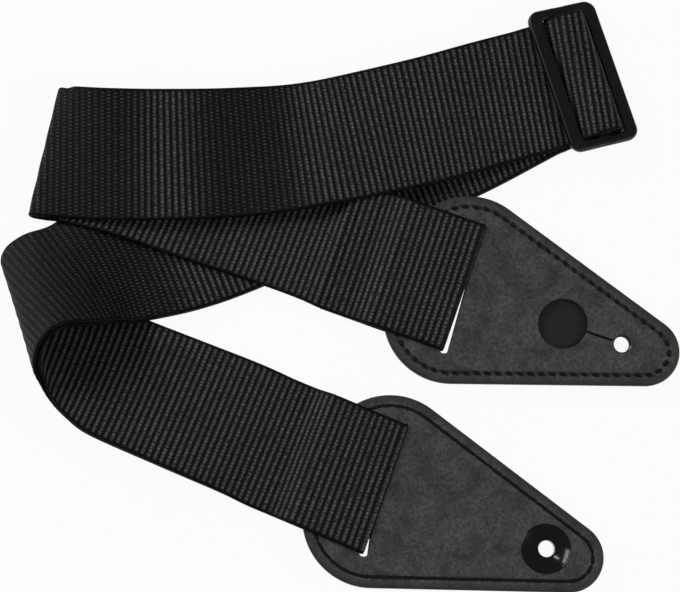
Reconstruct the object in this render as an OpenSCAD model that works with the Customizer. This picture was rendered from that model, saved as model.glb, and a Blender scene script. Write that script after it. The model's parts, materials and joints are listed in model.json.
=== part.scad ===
// Guitar strap of 2 inch webbing, laid out in loose folds.
//
// One long band of ribbed webbing is sewn round the head end's slot, runs to a fold at the left,
// comes back to the slider, turns over its middle bar, runs to an open loop at the left, goes
// through the tail end's slot, doubles back along itself and is sewn round the slider's middle bar.
// Each strap end is two layers of leather with a keyhole for a strap button in the back layer and
// a domed cup washer in the front layer.
//
// Millimetres, +Z up. The strap lies on the plane Z = 0, with the middle of its outline at the origin.

/* [Webbing] */
// Width of the webbing
webbing_w = 50; // [40:0.2:54]
// Thickness of one layer
webbing_t = 1.6; // [1.2:0.1:1.8]
// Air between two layers that lie on each other
layer_gap = 0.15; // [0.1:0.05:0.3]
// How far each selvedge is rounded in
selvedge_r = 0.5; // [0.2:0.1:0.55]

/* [Leather ends] */
// Thickness of one leather layer
leather_t = 2; // [1.6:0.1:2.4]
// Radius of the two corners beside the slot
corner_r = 25.6; // [22:0.1:27]
// Distance of each corner's centre from the long axis
corner_y = 10.3; // [9:0.1:13]
// Place of the corner centres along the axis, from the slot
corner_x = -1.1; // [-5:0.1:0]
// Radius of the rounded tip
tip_r = 12.8; // [11:0.1:14]
// Place of the tip's centre along the axis, from the slot
tip_x = 71.5; // [68:0.1:80]
// Width of the slot that the webbing goes through
slot_w = 2.6; // [2.4:0.1:4]
// Room beside the webbing in the slot, both sides together
slot_side_room = 1.2; // [0.8:0.1:2]
// How far the slot lies off the end's long axis
slot_y = 0.7; // [0:0.1:1]
// How far the webbing lies off the end's long axis
webbing_y = 0.9; // [0.5:0.1:1.1]
// Distance of the seam from the edge of the leather
seam_inset = 4; // [3:0.1:5]
// Width of the seam's groove in the front layer
groove_w = 1.4; // [1:0.1:2]
// Depth of the seam's groove in the front layer
groove_depth = 0.5; // [0.3:0.1:0.8]
// Length of one stitch with its gap
stitch_pitch = 4; // [3:0.1:5]
// Length of the thread that shows in one stitch
stitch_l = 2.7; // [2:0.1:2.9]
// Thickness of the thread
thread_d = 0.7; // [0.5:0.1:0.9]

/* [Button keyhole] */
// Distance of the neck hole from the slot
neck_x = 62.6; // [59.6:0.5:65.6]
// Diameter of the hole for the strap button's neck
neck_d = 6.8; // [6:0.1:8]
// Distance of the entry hole from the neck hole
entry_back = 23.4; // [21.4:0.5:26.4]
// Diameter of the entry hole for the strap button's head
entry_d = 18.6; // [16:0.1:20]
// Width of the slit that joins the two holes
slit_w = 0.8; // [0.5:0.1:1.5]

/* [Cup washer] */
// Diameter of the cup washer
cup_d = 18.2; // [17:0.1:20]
// Height of the cup washer above the leather
cup_h = 2.2; // [1.6:0.1:2.6]
// Thickness of the cup washer's sheet
cup_t = 0.8; // [0.6:0.1:1]
// Diameter of the hole through the cup washer
cup_hole_d = 6; // [5.5:0.1:6.5]
// Outer diameter of the washer's clinched barrel
barrel_d = 8.4; // [7.8:0.1:9]
// Outer diameter of the ring that the barrel is clinched over
clinch_d = 13; // [12:0.5:15]
// Thickness of the clinch ring
clinch_t = 0.6; // [0.4:0.1:0.8]

/* [Slider] */
// Length of the slider along the webbing
slider_x = 28.5; // [26:0.5:32]
// Width of each outer bar
outer_bar_w = 5.4; // [4.5:0.1:6]
// Width of each side rail
side_rail_w = 3.3; // [2.5:0.1:4]
// Room between the webbing and each side rail
rail_gap = 0.8; // [0.4:0.1:1.2]
// Thickness of the outer bars and side rails
frame_t = 2.8; // [2.4:0.1:3.2]
// Radius of the frame's corners
frame_r = 4.5; // [4:0.1:6]
// Rounding of the frame's edges
frame_edge_r = 0.8; // [0.4:0.1:1]
// Width of the middle bar
middle_bar_w = 4; // [3.5:0.1:4.4]
// Thickness of the middle bar
middle_bar_t = 2.4; // [2:0.1:2.6]

/* [Hidden] */
$fn = 48;

webbing_colour = [0.07, 0.07, 0.075];
thread_colour = [0.04, 0.04, 0.04];
leather_colour = [0.23, 0.23, 0.22];
plastic_colour = [0.1, 0.1, 0.11];
metal_colour = [0.05, 0.05, 0.055];

layer_pitch = webbing_t + layer_gap;
end_t = 2 * leather_t;
slot_l = webbing_w + slot_side_room;
fit_gap = 0.1;
flange_t = 0.3;
recess_depth = clinch_t + flange_t + 1.5 * fit_gap;
dome_r = (pow(cup_d / 2, 2) + pow(cup_h, 2)) / (2 * cup_h);
cup_hole_rim = cup_h - dome_r + sqrt(pow(dome_r, 2) - pow(cup_hole_d / 2, 2));

// ---- Where the pieces lie ----

// Tail end: the slot's centre, its heading, and its slope down to the tip. The skew is how far the
// webbing drifts sideways for each millimetre behind the slot.
tail_at = [17.1, -76.1];
tail_heading = -19.4;
tail_skew = 0.06;
tail_lift = layer_pitch + 0.05;
tail_tip = tip_x + tip_r;
tail_pitch = asin(tail_lift / tail_tip);

// Head end: it rests on its cup washer and on the webbing at the slot's low end, and its upper
// corner leans on the two layers of the third piece
head_at = [47.1, -0.9];
head_heading = -18.8;
head_skew = 0.012;
lean_x = 28;
lean_y = 16;
low_y = slot_l / 2 - slot_y + 0.3;
head_rise =
    let (k = 1 + lean_x / neck_x)
    (2 * layer_pitch + webbing_t + 0.3 - tail_lift * k + lean_x * cup_hole_rim / neck_x)
    / (low_y * k - cup_hole_d / 2 * lean_x / neck_x + lean_y);
head_roll = atan(head_rise);
head_lift = tail_lift + low_y * head_rise;
head_pitch = asin((head_lift - cup_hole_rim - cup_hole_d / 2 * head_rise) / neck_x);

// The webbing bends at this distance behind each slot when an end swings
flex_x = -38;
flex_gap = 0.5;
// Behind this the two legs of a loop start to close
leg_x = -27.5;

// Slider: the middle bar's centre, its heading, how the frame tips on the webbing, and the drift of
// the webbing behind the middle bar
slider_at = [94.3, 83.3];
slider_heading = 17;
slider_tip = 12.5;
slider_skew = -0.14;
bar_gap = 0.25;
tipped_bar = 0.15;
bar_z = webbing_t + layer_pitch + bar_gap + middle_bar_t / 2;
frame_y = webbing_w + 2 * rail_gap + 2 * side_rail_w;

// ---- Small vector helpers ----

function unit(v) = v / norm(v);
function flat_dir(a) = [cos(a), sin(a), 0];
function between(a, b, t) = a + (b - a) * t;
function ease(t) = t * t * (3 - 2 * t);

// Smooth curve through p1 and p2
function spline(p0, p1, p2, p3, t) =
    0.5 * (2 * p1 + (p2 - p0) * t + (2 * p0 - 5 * p1 + 4 * p2 - p3) * t * t
    + (3 * p1 - p0 - 3 * p2 + p3) * t * t * t);

// A band is a list of rulings, each [lower edge, upper edge]. This puts steps after each of them.
function smooth_steps(s, from, to, steps) = [
    for (i = [from : to], k = [0 : steps - 1])
    let (a = s[max(i - 1, 0)], b = s[i], c = s[i + 1], d = s[min(i + 2, len(s) - 1)])
    [for (e = [0, 1]) spline(a[e], b[e], c[e], d[e], k / steps)]
];
function smooth_band(s, steps) = concat(smooth_steps(s, 0, len(s) - 2, steps), [s[len(s) - 1]]);

function middle(r) = (r[0] + r[1]) / 2;
function across(r) = unit(r[1] - r[0]);
function along(s, i) = unit(middle(s[min(i + 1, len(s) - 1)]) - middle(s[max(i - 1, 0)]));

// Local axes at every ruling: [middle, direction across, direction that it faces]
function frames(s) = [
    for (i = [0 : len(s) - 1]) [middle(s[i]), across(s[i]), unit(cross(along(s, i), across(s[i])))]
];
function moved(f, d) = [for (q = f) [q[0] + q[2] * d, q[1], q[2]]];
function stretch(f, from, to) = [for (i = [from : to]) f[i]];

// Cross-section with rounded selvedges: [across, facing]
webbing_section =
    let (c = webbing_w / 2, h = webbing_t / 2, r = selvedge_r)
    [[-c, r - h], [r - c, -h], [c - r, -h], [c, r - h], [c, h - r], [c - r, h], [r - c, h], [-c, h - r]];

// Solid webbing through a list of frames
module webbing(f) {
    n = len(f);
    k = len(webbing_section);
    points = [for (q = f, p = webbing_section) q[0] + q[1] * p[0] + q[2] * p[1]];
    sides = [
        for (i = [0 : n - 2], j = [0 : k - 1])
        let (a = i * k + j, b = i * k + (j + 1) % k)
        each [[a, b + k, b], [a, a + k, b + k]]
    ];
    start = [for (j = [0 : k - 1]) j];
    finish = [for (j = [k - 1 : -1 : 0]) (n - 1) * k + j];
    polyhedron(points = points, faces = concat([start], sides, [finish]), convexity = 10);
}

// ---- Webbing routes ----

// Rulings straight across a path of [x, z] points in a piece's own frame. The webbing's middle
// lies at y, and drifts sideways by skew for each millimetre before x0.
function straight_across(path, y = 0, skew = 0, x0 = 0) = [
    for (p = path) [for (e = [-0.5, 0.5]) [p[0], y - skew * min(p[0] - x0, 0) + e * webbing_w, p[1]]]
];

// Half a turn of a path, from below to above or back, about [x, z]
function half_turn(x, z, r, from, to, n) = [
    for (i = [0 : n]) let (a = between(from, to, i / n)) [x + r * cos(a), z + r * sin(a)]
];

// Path of a loop round the leather behind a slot: upper leg, through the slot, lower leg.
// The legs end at the flex line at the heights upper and lower.
function loop_path(upper, lower) =
    let (
        top = end_t + layer_gap + webbing_t / 2,
        bottom = -layer_gap - webbing_t / 2,
        start = flex_x + flex_gap,
        edge = -slot_w / 2 - 0.05,
        r = layer_gap + webbing_t / 2
    )
    concat(
        [for (i = [0 : 6]) [between(start, leg_x, i / 6), between(upper, top, ease(i / 6))]],
        [[between(leg_x, edge, 0.5), top]],
        half_turn(edge, end_t, r, 90, 0, 4),
        [[edge + r, end_t / 2]],
        half_turn(edge, 0, r, 0, -90, 4),
        [[between(leg_x, edge, 0.5), bottom]],
        [for (i = [6 : -1 : 0]) [between(start, leg_x, i / 6), between(lower, bottom, ease(i / 6))]]
    );

// A point of an end's own frame, placed in the strap
function turn_z(p, a) = [p[0] * cos(a) - p[1] * sin(a), p[0] * sin(a) + p[1] * cos(a), p[2]];
function turn_y(p, a) = [p[0] * cos(a) + p[2] * sin(a), p[1], -p[0] * sin(a) + p[2] * cos(a)];
function turn_x(p, a) = [p[0], p[1] * cos(a) - p[2] * sin(a), p[1] * sin(a) + p[2] * cos(a)];
in_tail = function (p)
    turn_z(turn_y(p, tail_pitch), tail_heading) + [tail_at[0], tail_at[1], tail_lift];
in_head = function (p)
    turn_z(turn_y(turn_x(p, head_roll), head_pitch), head_heading)
    + [head_at[0], head_at[1], head_lift];
in_slider = function (p) turn_z(p, slider_heading) + [slider_at[0], slider_at[1], 0];
function placed(s, where) = [for (r = s) [for (e = [0, 1]) where(r[e])]];

module place_tail() {
    translate([tail_at[0], tail_at[1], tail_lift])
    rotate([0, tail_pitch, tail_heading])
    children();
}

module place_head() {
    translate([head_at[0], head_at[1], head_lift])
    rotate([head_roll, head_pitch, head_heading])
    children();
}

module place_slider() {
    translate([slider_at[0], slider_at[1], bar_z])
    rotate([0, slider_tip, slider_heading])
    children();
}

// ---- Rulings, [lower edge, upper edge], placed by hand where the webbing lies free ----
// The third number is the height above where that layer would lie flat on the layers below it.

steps = 3;
double_z = webbing_t / 2 + layer_pitch / 2;
second_z = webbing_t / 2 + 2 * layer_pitch;
top_z = webbing_t / 2 + 3 * layer_pitch;
function raised(s, z) = [for (r = s) [for (e = [0, 1]) r[e] + [0, 0, z]]];

// Second run, from the turned end at the head to the fold
second_run = [
    [[-15.1, -3.7, 0.4], [2.2, 43.2, 0.4]],
    [[-30, 1.9, 0], [-13.2, 49, 0]],
    [[-55, 10.2, 0.7], [-38.8, 57.5, 0]],
    [[-84, 19.5, 4], [-69, 67.2, -1.2]],
    [[-102, 24.3, 4.2], [-90, 72.7, 0.8]],
    [[-109.5, 25.9, 2], [-98, 74.4, 2.2]]
];
// The fold at the left: its lower layer, and half of the gap that it keeps open at each edge
fold = [[-114.6, 26.8, 1], [-101.8, 75.2, 4]];
fold_r = [1.6, 3.5];
// Top run, from the fold to the stretch that feeds through the slider
top_run = [
    [[-105, 25.2, 3.3], [-98.6, 76.5, 10.5]],
    [[-93.6, 24.9, 4.2], [-89.8, 74.9, 11.5]],
    [[-82.2, 24.5, 5], [-79.6, 74.7, 11]],
    [[-71, 24.6, 4.6], [-70, 74.8, 10]],
    [[-58.3, 25, 3.8], [-58, 75.3, 8.5]],
    [[-44.9, 25.7, 3], [-46.8, 76.1, 6.5]],
    [[-32.1, 26.9, 2.4], [-37.1, 77, 4.6]],
    [[-17.1, 29, 3], [-23.9, 78.1, 2]],
    [[-5.8, 31, 3.8], [-13.2, 79.7, 0.6]],
    [[9.3, 34, 3.2], [-0.5, 82.1, 0.6]]
];
// Where the top run starts to feed through the slider, and its last ruling before the slider
top_feed = [[[41.3, 41.3, 0.4], [28, 89.5, 0.4]], [[66, 48.8, -1.2], [51.5, 96.7, -1.2]]];
// Where the two layers below it start to feed through the slider
double_feed = [[[50.2, 35, 0], [29.7, 80.5, 0]]];
// Third piece, the open loop at the left, and the lower run: both layers together
double_run = [
    [[10, 18.3, 0], [-11, 63.7, 0]],
    [[-28, 1.4, 0], [-48, 47.3, 0]],
    [[-51, -7.1, 0.3], [-66, 40.6, 0.2]],
    [[-72, -12.6, 4.2], [-84, 36, 1.4]],
    [[-81.2, -14.8, 14], [-99, 30.6, 2.4]],
    [[-89.5, -17, 24.4], [-108.4, 23, 3.4]],
    [[-96.4, -18.6, 28.2], [-117.6, 20.2, 3.7]],
    [[-101.8, -21.2, 29.8], [-123.2, 16.4, 3.7]],
    [[-105.4, -25.5, 29], [-125.4, 13.1, 3.2]],
    [[-107.4, -29.8, 26.6], [-125.6, 10.3, 2.4]],
    [[-108, -34.2, 23.4], [-124.3, 8, 1.6]],
    [[-106.5, -38.5, 19.6], [-121.4, 5.6, 0.8]],
    [[-104.2, -43.7, 17.2], [-113.8, 2.8, 0.2]],
    [[-99, -49.8, 15], [-99, -1.7, 0]],
    [[-88.4, -57.3, 13], [-72.3, -11.3, 0]],
    [[-66, -67.1, 9], [-48.5, -20.4, 0]],
    [[-44, -76, 3.4], [-28.2, -28.6, 0]]
];

// ---- Heights where the webbing meets the ends and the slider ----

// Height of the two layers at the tail's flex line, in the tail end's own frame
tail_flex_z = (double_z - tail_lift + flex_x * sin(tail_pitch)) / cos(tail_pitch);
// Height of the webbing and of its turned end at the head's flex line and at the turned end's edge
head_flex_z = 1.35;
turned_x = -49;
turned_z = 1.95;

// Webbing through the slider, as [x, z] in the slider's own frame
over_bar_r = bar_z - webbing_t / 2;
bight_x = 3.6;
under_x = -10;
weave = concat(
    [
        [-22, second_z], [-16, second_z], [-9.8, second_z], [-8.2, second_z + 0.7],
        [-6.4, second_z + 2], [-4, second_z + 3.4], [-1.5, bar_z + over_bar_r + tipped_bar]
    ],
    half_turn(bight_x, bar_z, over_bar_r, 90, -90, 8),
    [[under_x, webbing_t / 2]]
);
loop_r = middle_bar_t / 2 + bar_gap + webbing_t / 2;
loop_x = 0.9;
sewn_x = -20;
bar_loop = concat(
    [[sewn_x + flex_gap, webbing_t / 2 + layer_pitch], [under_x, webbing_t / 2 + layer_pitch]],
    half_turn(loop_x, bar_z, loop_r, -90, 90, 8),
    [[-1.2, bar_z + loop_r + tipped_bar], [-3.2, second_z + 1.3], [-4.6, second_z + 0.15], [-6.4, second_z]]
);

// ---- Whole strands ----

fold_out = let (d = fold[1] - fold[0]) unit([-d[1], d[0], 0]);
fold_turn = [
    for (i = [0 : 6])
    let (a = between(-90, 90, i / 6))
    [for (e = [0, 1]) fold[e] + [0, 0, second_z] + fold_r[e] * (fold_out * cos(a) + [0, 0, 1 + sin(a)])]
];
turned_slope = (turned_z - head_flex_z) / (turned_x - flex_x);
head_rulings = placed(
    straight_across([for (x = [flex_x, (flex_x + turned_x) / 2, turned_x, turned_x - 1])
        [x, head_flex_z + turned_slope * (x - flex_x)]], webbing_y, head_skew),
    in_head
);
feed_rulings = concat(
    raised(top_run, top_z), raised(top_feed, top_z), placed(straight_across(weave), in_slider)
);
feed_at = len(top_run);
head_steps = smooth_band(concat(head_rulings, raised(second_run, second_z)), steps);
top_steps = smooth_steps(feed_rulings, 0, feed_at - 1, steps);
bight_steps = smooth_steps(feed_rulings, feed_at, len(feed_rulings) - 2, 2);
long_frames = frames(concat(head_steps, fold_turn, top_steps, bight_steps, [feed_rulings[len(feed_rulings) - 1]]));
top_feed_index = len(head_steps) + len(fold_turn) + len(top_steps);
turned_frames = frames(placed(
    straight_across([
        [flex_x, head_flex_z - layer_pitch],
        [turned_x, turned_z - layer_pitch]
    ], webbing_y, head_skew),
    in_head
));
slider_rulings = placed(
    straight_across(
        [[under_x, double_z], [-16, double_z], [sewn_x, double_z]], 0, slider_skew, under_x
    ),
    in_slider
);
tail_rulings = placed(
    straight_across([[flex_x - 8, tail_flex_z], [flex_x, tail_flex_z]], webbing_y, tail_skew), in_tail
);
double_frames = frames(smooth_band(
    concat(slider_rulings, raised(double_feed, double_z), raised(double_run, double_z), tail_rulings), steps
));
sewn_index = 2 * steps;
feed_index = 3 * steps;
inner_frames = moved(double_frames, layer_pitch / 2);
outer_frames = moved(double_frames, -layer_pitch / 2);

module long_webbing() {
    color(webbing_colour) webbing(stretch(long_frames, 0, top_feed_index));
}

module turned_end() {
    color(webbing_colour) webbing(turned_frames);
}

// The stretch that changes shape as the slider moves along it
module slider_webbing() {
    color(webbing_colour) {
        webbing(concat(
            stretch(long_frames, top_feed_index, len(long_frames) - 2),
            stretch(inner_frames, 0, feed_index)
        ));
        webbing(stretch(outer_frames, sewn_index, feed_index));
    }
}

module inner_webbing() {
    color(webbing_colour) webbing(stretch(inner_frames, feed_index, len(inner_frames) - 1));
}

module outer_webbing() {
    color(webbing_colour) webbing(stretch(outer_frames, feed_index, len(outer_frames) - 1));
}

module slider_webbing_loop() {
    color(webbing_colour)
    webbing(frames(placed(straight_across(bar_loop, 0, slider_skew, under_x), in_slider)));
}

module head_webbing_loop() {
    color(webbing_colour)
    webbing(frames(placed(
        straight_across(loop_path(head_flex_z, head_flex_z - layer_pitch), webbing_y, head_skew), in_head
    )));
}

module tail_webbing_loop() {
    color(webbing_colour)
    webbing(frames(placed(
        straight_across(
            loop_path(tail_flex_z + layer_pitch / 2, tail_flex_z - layer_pitch / 2), webbing_y, tail_skew
        ),
        in_tail
    )));
}

// Rows of thread that sew the turned end down: a box with a cross in it
module stitch_row(from, to, thickness) {
    d = to - from;
    n = round(norm(d) / stitch_pitch);
    for (i = [0 : n - 1]) {
        p = from + d * (i + 0.5) / n;
        translate([p[0], p[1], 0])
        rotate([0, 0, atan2(d[1], d[0])])
        translate([-stitch_l / 2, -thread_d / 2, 0])
        cube([stitch_l, thread_d, thickness]);
    }
}

module turned_end_stitching() {
    x0 = -1.6;
    x1 = turned_x - flex_x + 1.6;
    y1 = webbing_w / 2 - 2.4;
    in = 1.2;
    color(thread_colour)
    place_head()
    translate([flex_x, webbing_y - head_skew * flex_x, head_flex_z])
    rotate([0, -atan(turned_slope), 0])
    translate([0, 0, webbing_t / 2]) {
        for (side = [-1, 1])
            stitch_row([x0 - in, side * y1], [x1 + in, side * y1], thread_d / 2);
        for (x = [x0, x1])
            stitch_row([x, in - y1], [x, y1 - in], thread_d / 2);
    }
}

// ---- Leather ends, drawn front side up: X from the slot to the tip, Z up from the back ----

side_span = [tip_x - corner_x, -corner_y];
side_normal = atan2(side_span[1], side_span[0]) + acos((corner_r - tip_r) / norm(side_span));

// Points of an arc, a step of about 5 degrees apart
function arc_points(centre, r, from, to) =
    let (n = ceil(abs(to - from) / 5))
    [for (i = [0 : n]) let (a = between(from, to, i / n)) centre + r * [cos(a), sin(a)]];

// Outline of an end, drawn in by a margin all round: two corners and the tip
module end_outline(margin) {
    rc = corner_r - margin;
    polygon(concat(
        arc_points([corner_x, -corner_y], rc, 180, 360 - side_normal),
        arc_points([tip_x, 0], tip_r - margin, -side_normal, side_normal),
        arc_points([corner_x, corner_y], rc, side_normal, 180)
    ));
}

// The slot has half-round ends
module slot_outline() {
    polygon(concat(
        arc_points([0, slot_y + (slot_l - slot_w) / 2], slot_w / 2, 0, 180),
        arc_points([0, slot_y - (slot_l - slot_w) / 2], slot_w / 2, 180, 360)
    ));
}

// One layer, with the slot and the groove that the seam lies in
module leather_layer(groove_z) {
    difference() {
        linear_extrude(leather_t)
        end_outline(0);
        translate([0, 0, -1])
        linear_extrude(leather_t + 2)
        slot_outline();
        translate([0, 0, groove_z])
        linear_extrude(groove_depth + 1)
        difference() {
            end_outline(seam_inset - groove_w / 2);
            end_outline(seam_inset + groove_w / 2);
        }
    }
}

module front_leather() {
    color(leather_colour)
    translate([0, 0, leather_t])
    difference() {
        leather_layer(leather_t - groove_depth);
        translate([neck_x, 0, -1])
        cylinder(d = barrel_d + 2 * fit_gap, h = leather_t + 2);
        translate([neck_x, 0, -1])
        cylinder(d = clinch_d + 2 * fit_gap, h = recess_depth + 1);
    }
}

module back_leather() {
    color(leather_colour)
    difference() {
        leather_layer(-1);
        translate([neck_x, 0, -1])
        cylinder(d = neck_d, h = leather_t + 2);
        translate([neck_x - entry_back, 0, -1])
        cylinder(d = entry_d, h = leather_t + 2);
        translate([neck_x - entry_back, -slit_w / 2, -1])
        cube([entry_back, slit_w, leather_t + 2]);
    }
}

// Domed cup with a rolled hole, a barrel through the front leather and a clinched foot
module cup_washer() {
    rim = cup_d / 2;
    hole = cup_hole_d / 2;
    barrel = barrel_d / 2;
    foot = leather_t - fit_gap / 2;
    color(metal_colour)
    translate([neck_x, 0, 2 * leather_t])
    rotate_extrude()
    difference() {
        union() {
            intersection() {
                translate([0, cup_h - dome_r])
                circle(r = dome_r, $fn = 96);
                square([rim, cup_h]);
            }
            translate([0, -foot])
            square([barrel, foot + cup_h / 2]);
            translate([0, -foot])
            square([barrel + 0.8, flange_t]);
        }
        translate([0, -foot - 1])
        square([hole, foot + cup_h + 2]);
        intersection() {
            translate([0, cup_h - dome_r])
            circle(r = dome_r - cup_t, $fn = 96);
            translate([barrel, 0])
            square([rim, cup_h]);
        }
    }
}

module clinch_ring() {
    color(metal_colour)
    translate([neck_x, 0, leather_t + flange_t + fit_gap])
    difference() {
        cylinder(d = clinch_d, h = clinch_t);
        translate([0, 0, -1])
        cylinder(d = barrel_d + fit_gap, h = clinch_t + 2);
    }
}

// Legs of the seam's path: [length, place and heading at a distance along the leg]
seam_legs =
    let (
        rc = corner_r - seam_inset,
        rt = tip_r - seam_inset,
        arc = PI / 180,
        n = [cos(side_normal), sin(side_normal)],
        side_l = sqrt(pow(norm(side_span), 2) - pow(corner_r - tip_r, 2))
    )
    [
        [2 * corner_y, function (t) [corner_x - rc, t - corner_y, 90]],
        [rc * (180 - side_normal) * arc, function (t)
            let (a = 180 - t / rc / arc) [corner_x + rc * cos(a), corner_y + rc * sin(a), a - 90]],
        [side_l, function (t)
            [corner_x + rc * n[0] + t * n[1], corner_y + rc * n[1] - t * n[0], side_normal - 90]],
        [2 * rt * side_normal * arc, function (t)
            let (a = side_normal - t / rt / arc) [tip_x + rt * cos(a), rt * sin(a), a - 90]],
        [side_l, function (t)
            [tip_x + rt * n[0] - t * n[1], -rt * n[1] - t * n[0], -side_normal - 90]],
        [rc * (180 - side_normal) * arc, function (t)
            let (a = -side_normal - t / rc / arc) [corner_x + rc * cos(a), -corner_y + rc * sin(a), a - 90]]
    ];
function leg_total(i) = i < 0 ? 0 : seam_legs[i][0] + leg_total(i - 1);
function seam_place(d, i = 0) =
    d <= seam_legs[i][0] || i == len(seam_legs) - 1
    ? seam_legs[i][1](d)
    : seam_place(d - seam_legs[i][0], i + 1);

// Lock stitches in the groove of the front and of the back
module seam() {
    total = leg_total(len(seam_legs) - 1);
    count = round(total / stitch_pitch);
    color(thread_colour)
    for (i = [0 : count - 1]) {
        p = seam_place((i + 0.5) * total / count);
        for (z = [0, 2 * leather_t - groove_depth])
            translate([p[0], p[1], z])
            rotate([0, 0, p[2]])
            translate([-stitch_l / 2, -thread_d / 2, 0])
            cube([stitch_l, thread_d, groove_depth]);
    }
}

// The head end lies with its back side up
module turned_over() {
    translate([0, 0, end_t])
    mirror([0, 0, 1])
    children();
}

module head_front_leather() { place_head() turned_over() front_leather(); }
module head_back_leather() { place_head() turned_over() back_leather(); }
module head_cup_washer() { place_head() turned_over() cup_washer(); }
module head_clinch_ring() { place_head() turned_over() clinch_ring(); }
module head_seam() { place_head() turned_over() seam(); }
module tail_front_leather() { place_tail() front_leather(); }
module tail_back_leather() { place_tail() back_leather(); }
module tail_cup_washer() { place_tail() cup_washer(); }
module tail_clinch_ring() { place_tail() clinch_ring(); }
module tail_seam() { place_tail() seam(); }

// ---- Slider: a three-bar frame moulded in one piece, about its middle bar's axis ----

module rounded_rectangle(w, h, r) {
    square([w - 2 * r, h], center = true);
    square([w, h - 2 * r], center = true);
    for (x = [-1, 1], y = [-1, 1])
        translate([x * (w / 2 - r), y * (h / 2 - r)])
        circle(r = r);
}

module bar_along_y(x, w, t, r, length) {
    translate([x, length / 2, 0])
    rotate([90, 0, 0])
    linear_extrude(length)
    rounded_rectangle(w, t, r);
}

module slider_frame() {
    end_x = slider_x / 2;
    end_y = frame_y / 2;
    inner_bar_w = outer_bar_w - side_rail_w / 2;
    color(plastic_colour)
    place_slider() {
        for (side = [-1, 1]) {
            bar_along_y(side * (end_x - side_rail_w / 2), side_rail_w, frame_t, frame_edge_r,
                frame_y - 2 * frame_r);
            bar_along_y(side * (end_x - outer_bar_w + inner_bar_w / 2), inner_bar_w, frame_t,
                frame_edge_r, frame_y - side_rail_w);
            rotate([0, 0, 90])
            bar_along_y(side * (end_y - side_rail_w / 2), side_rail_w, frame_t, frame_edge_r,
                slider_x - 2 * frame_r);
        }
        for (x = [-1, 1], y = [-1, 1])
            translate([x * (end_x - frame_r), y * (end_y - frame_r), 0])
            rotate([0, 0, x > 0 ? (y > 0 ? 0 : -90) : (y > 0 ? 90 : 180)])
            rotate_extrude(angle = 90)
            translate([frame_r - side_rail_w / 2, 0])
            rounded_rectangle(side_rail_w, frame_t, frame_edge_r);
        bar_along_y(0, middle_bar_w, middle_bar_t, middle_bar_t / 2 - 0.05, frame_y - side_rail_w);
    }
}

long_webbing();
turned_end();
turned_end_stitching();
slider_webbing();
inner_webbing();
outer_webbing();
slider_frame();
slider_webbing_loop();
head_webbing_loop();
head_front_leather();
head_back_leather();
head_cup_washer();
head_clinch_ring();
head_seam();
tail_webbing_loop();
tail_front_leather();
tail_back_leather();
tail_cup_washer();
tail_clinch_ring();
tail_seam();
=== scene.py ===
# %% [markdown]
# # A guitar strap: ribbed webbing with leather ends
#
# The strap is one long band of ribbed webbing, folded loosely on a table. Each end of it goes
# through a slot in a pear-shaped piece of stitched leather, and a plastic slider sets its length.
#
# Two ways lead to such a shape. Cloth simulation lets a band fall and keeps what comes out. It
# would bend this strap in a new way each time, and a stiff flat band folds where someone folds it.
# So here the band is drawn as a row of straight lines across it, called rulings, the way a pattern
# maker would unroll it, and the ribs, stitches and leather are then built on top.

# %% Load the solid model that everything is built around
import json
import math
import bpy
import numpy as np
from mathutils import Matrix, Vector
from mathutils.geometry import delaunay_2d_cdt

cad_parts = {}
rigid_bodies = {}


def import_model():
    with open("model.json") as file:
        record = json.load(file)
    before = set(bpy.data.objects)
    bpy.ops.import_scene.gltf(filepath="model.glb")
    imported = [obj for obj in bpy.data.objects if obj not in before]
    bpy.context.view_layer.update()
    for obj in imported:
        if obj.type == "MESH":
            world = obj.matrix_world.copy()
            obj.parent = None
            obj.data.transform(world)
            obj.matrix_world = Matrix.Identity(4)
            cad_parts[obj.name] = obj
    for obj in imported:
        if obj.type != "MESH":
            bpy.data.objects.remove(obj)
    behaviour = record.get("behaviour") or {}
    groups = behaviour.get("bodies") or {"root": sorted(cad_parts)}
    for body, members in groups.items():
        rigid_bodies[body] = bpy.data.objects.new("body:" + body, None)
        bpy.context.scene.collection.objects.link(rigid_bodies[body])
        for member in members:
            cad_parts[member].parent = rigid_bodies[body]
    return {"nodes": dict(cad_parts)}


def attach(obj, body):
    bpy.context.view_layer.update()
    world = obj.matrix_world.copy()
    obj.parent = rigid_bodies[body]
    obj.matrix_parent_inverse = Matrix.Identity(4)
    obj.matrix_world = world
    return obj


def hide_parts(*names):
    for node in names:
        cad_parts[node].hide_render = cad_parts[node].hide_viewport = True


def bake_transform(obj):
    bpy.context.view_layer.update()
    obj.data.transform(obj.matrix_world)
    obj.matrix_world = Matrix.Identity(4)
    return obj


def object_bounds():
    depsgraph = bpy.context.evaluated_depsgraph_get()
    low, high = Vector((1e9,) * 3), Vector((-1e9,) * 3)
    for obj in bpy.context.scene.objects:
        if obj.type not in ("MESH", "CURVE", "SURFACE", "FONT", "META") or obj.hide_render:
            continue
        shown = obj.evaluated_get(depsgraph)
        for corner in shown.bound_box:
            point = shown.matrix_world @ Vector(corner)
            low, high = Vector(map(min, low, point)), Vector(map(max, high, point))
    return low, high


for leftover in list(bpy.data.objects):
    bpy.data.objects.remove(leftover)
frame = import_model()
solid_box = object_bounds()
print("solid parts:", len(frame["nodes"]), "box:", solid_box)

# %% [markdown]
# ## Camera
#
# Something flat is seen best from nearly overhead through a long lens, because parallel edges then
# stay parallel. The lens here is 91 mm on a 36 mm sensor, tipped 11 degrees off straight down.

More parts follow.
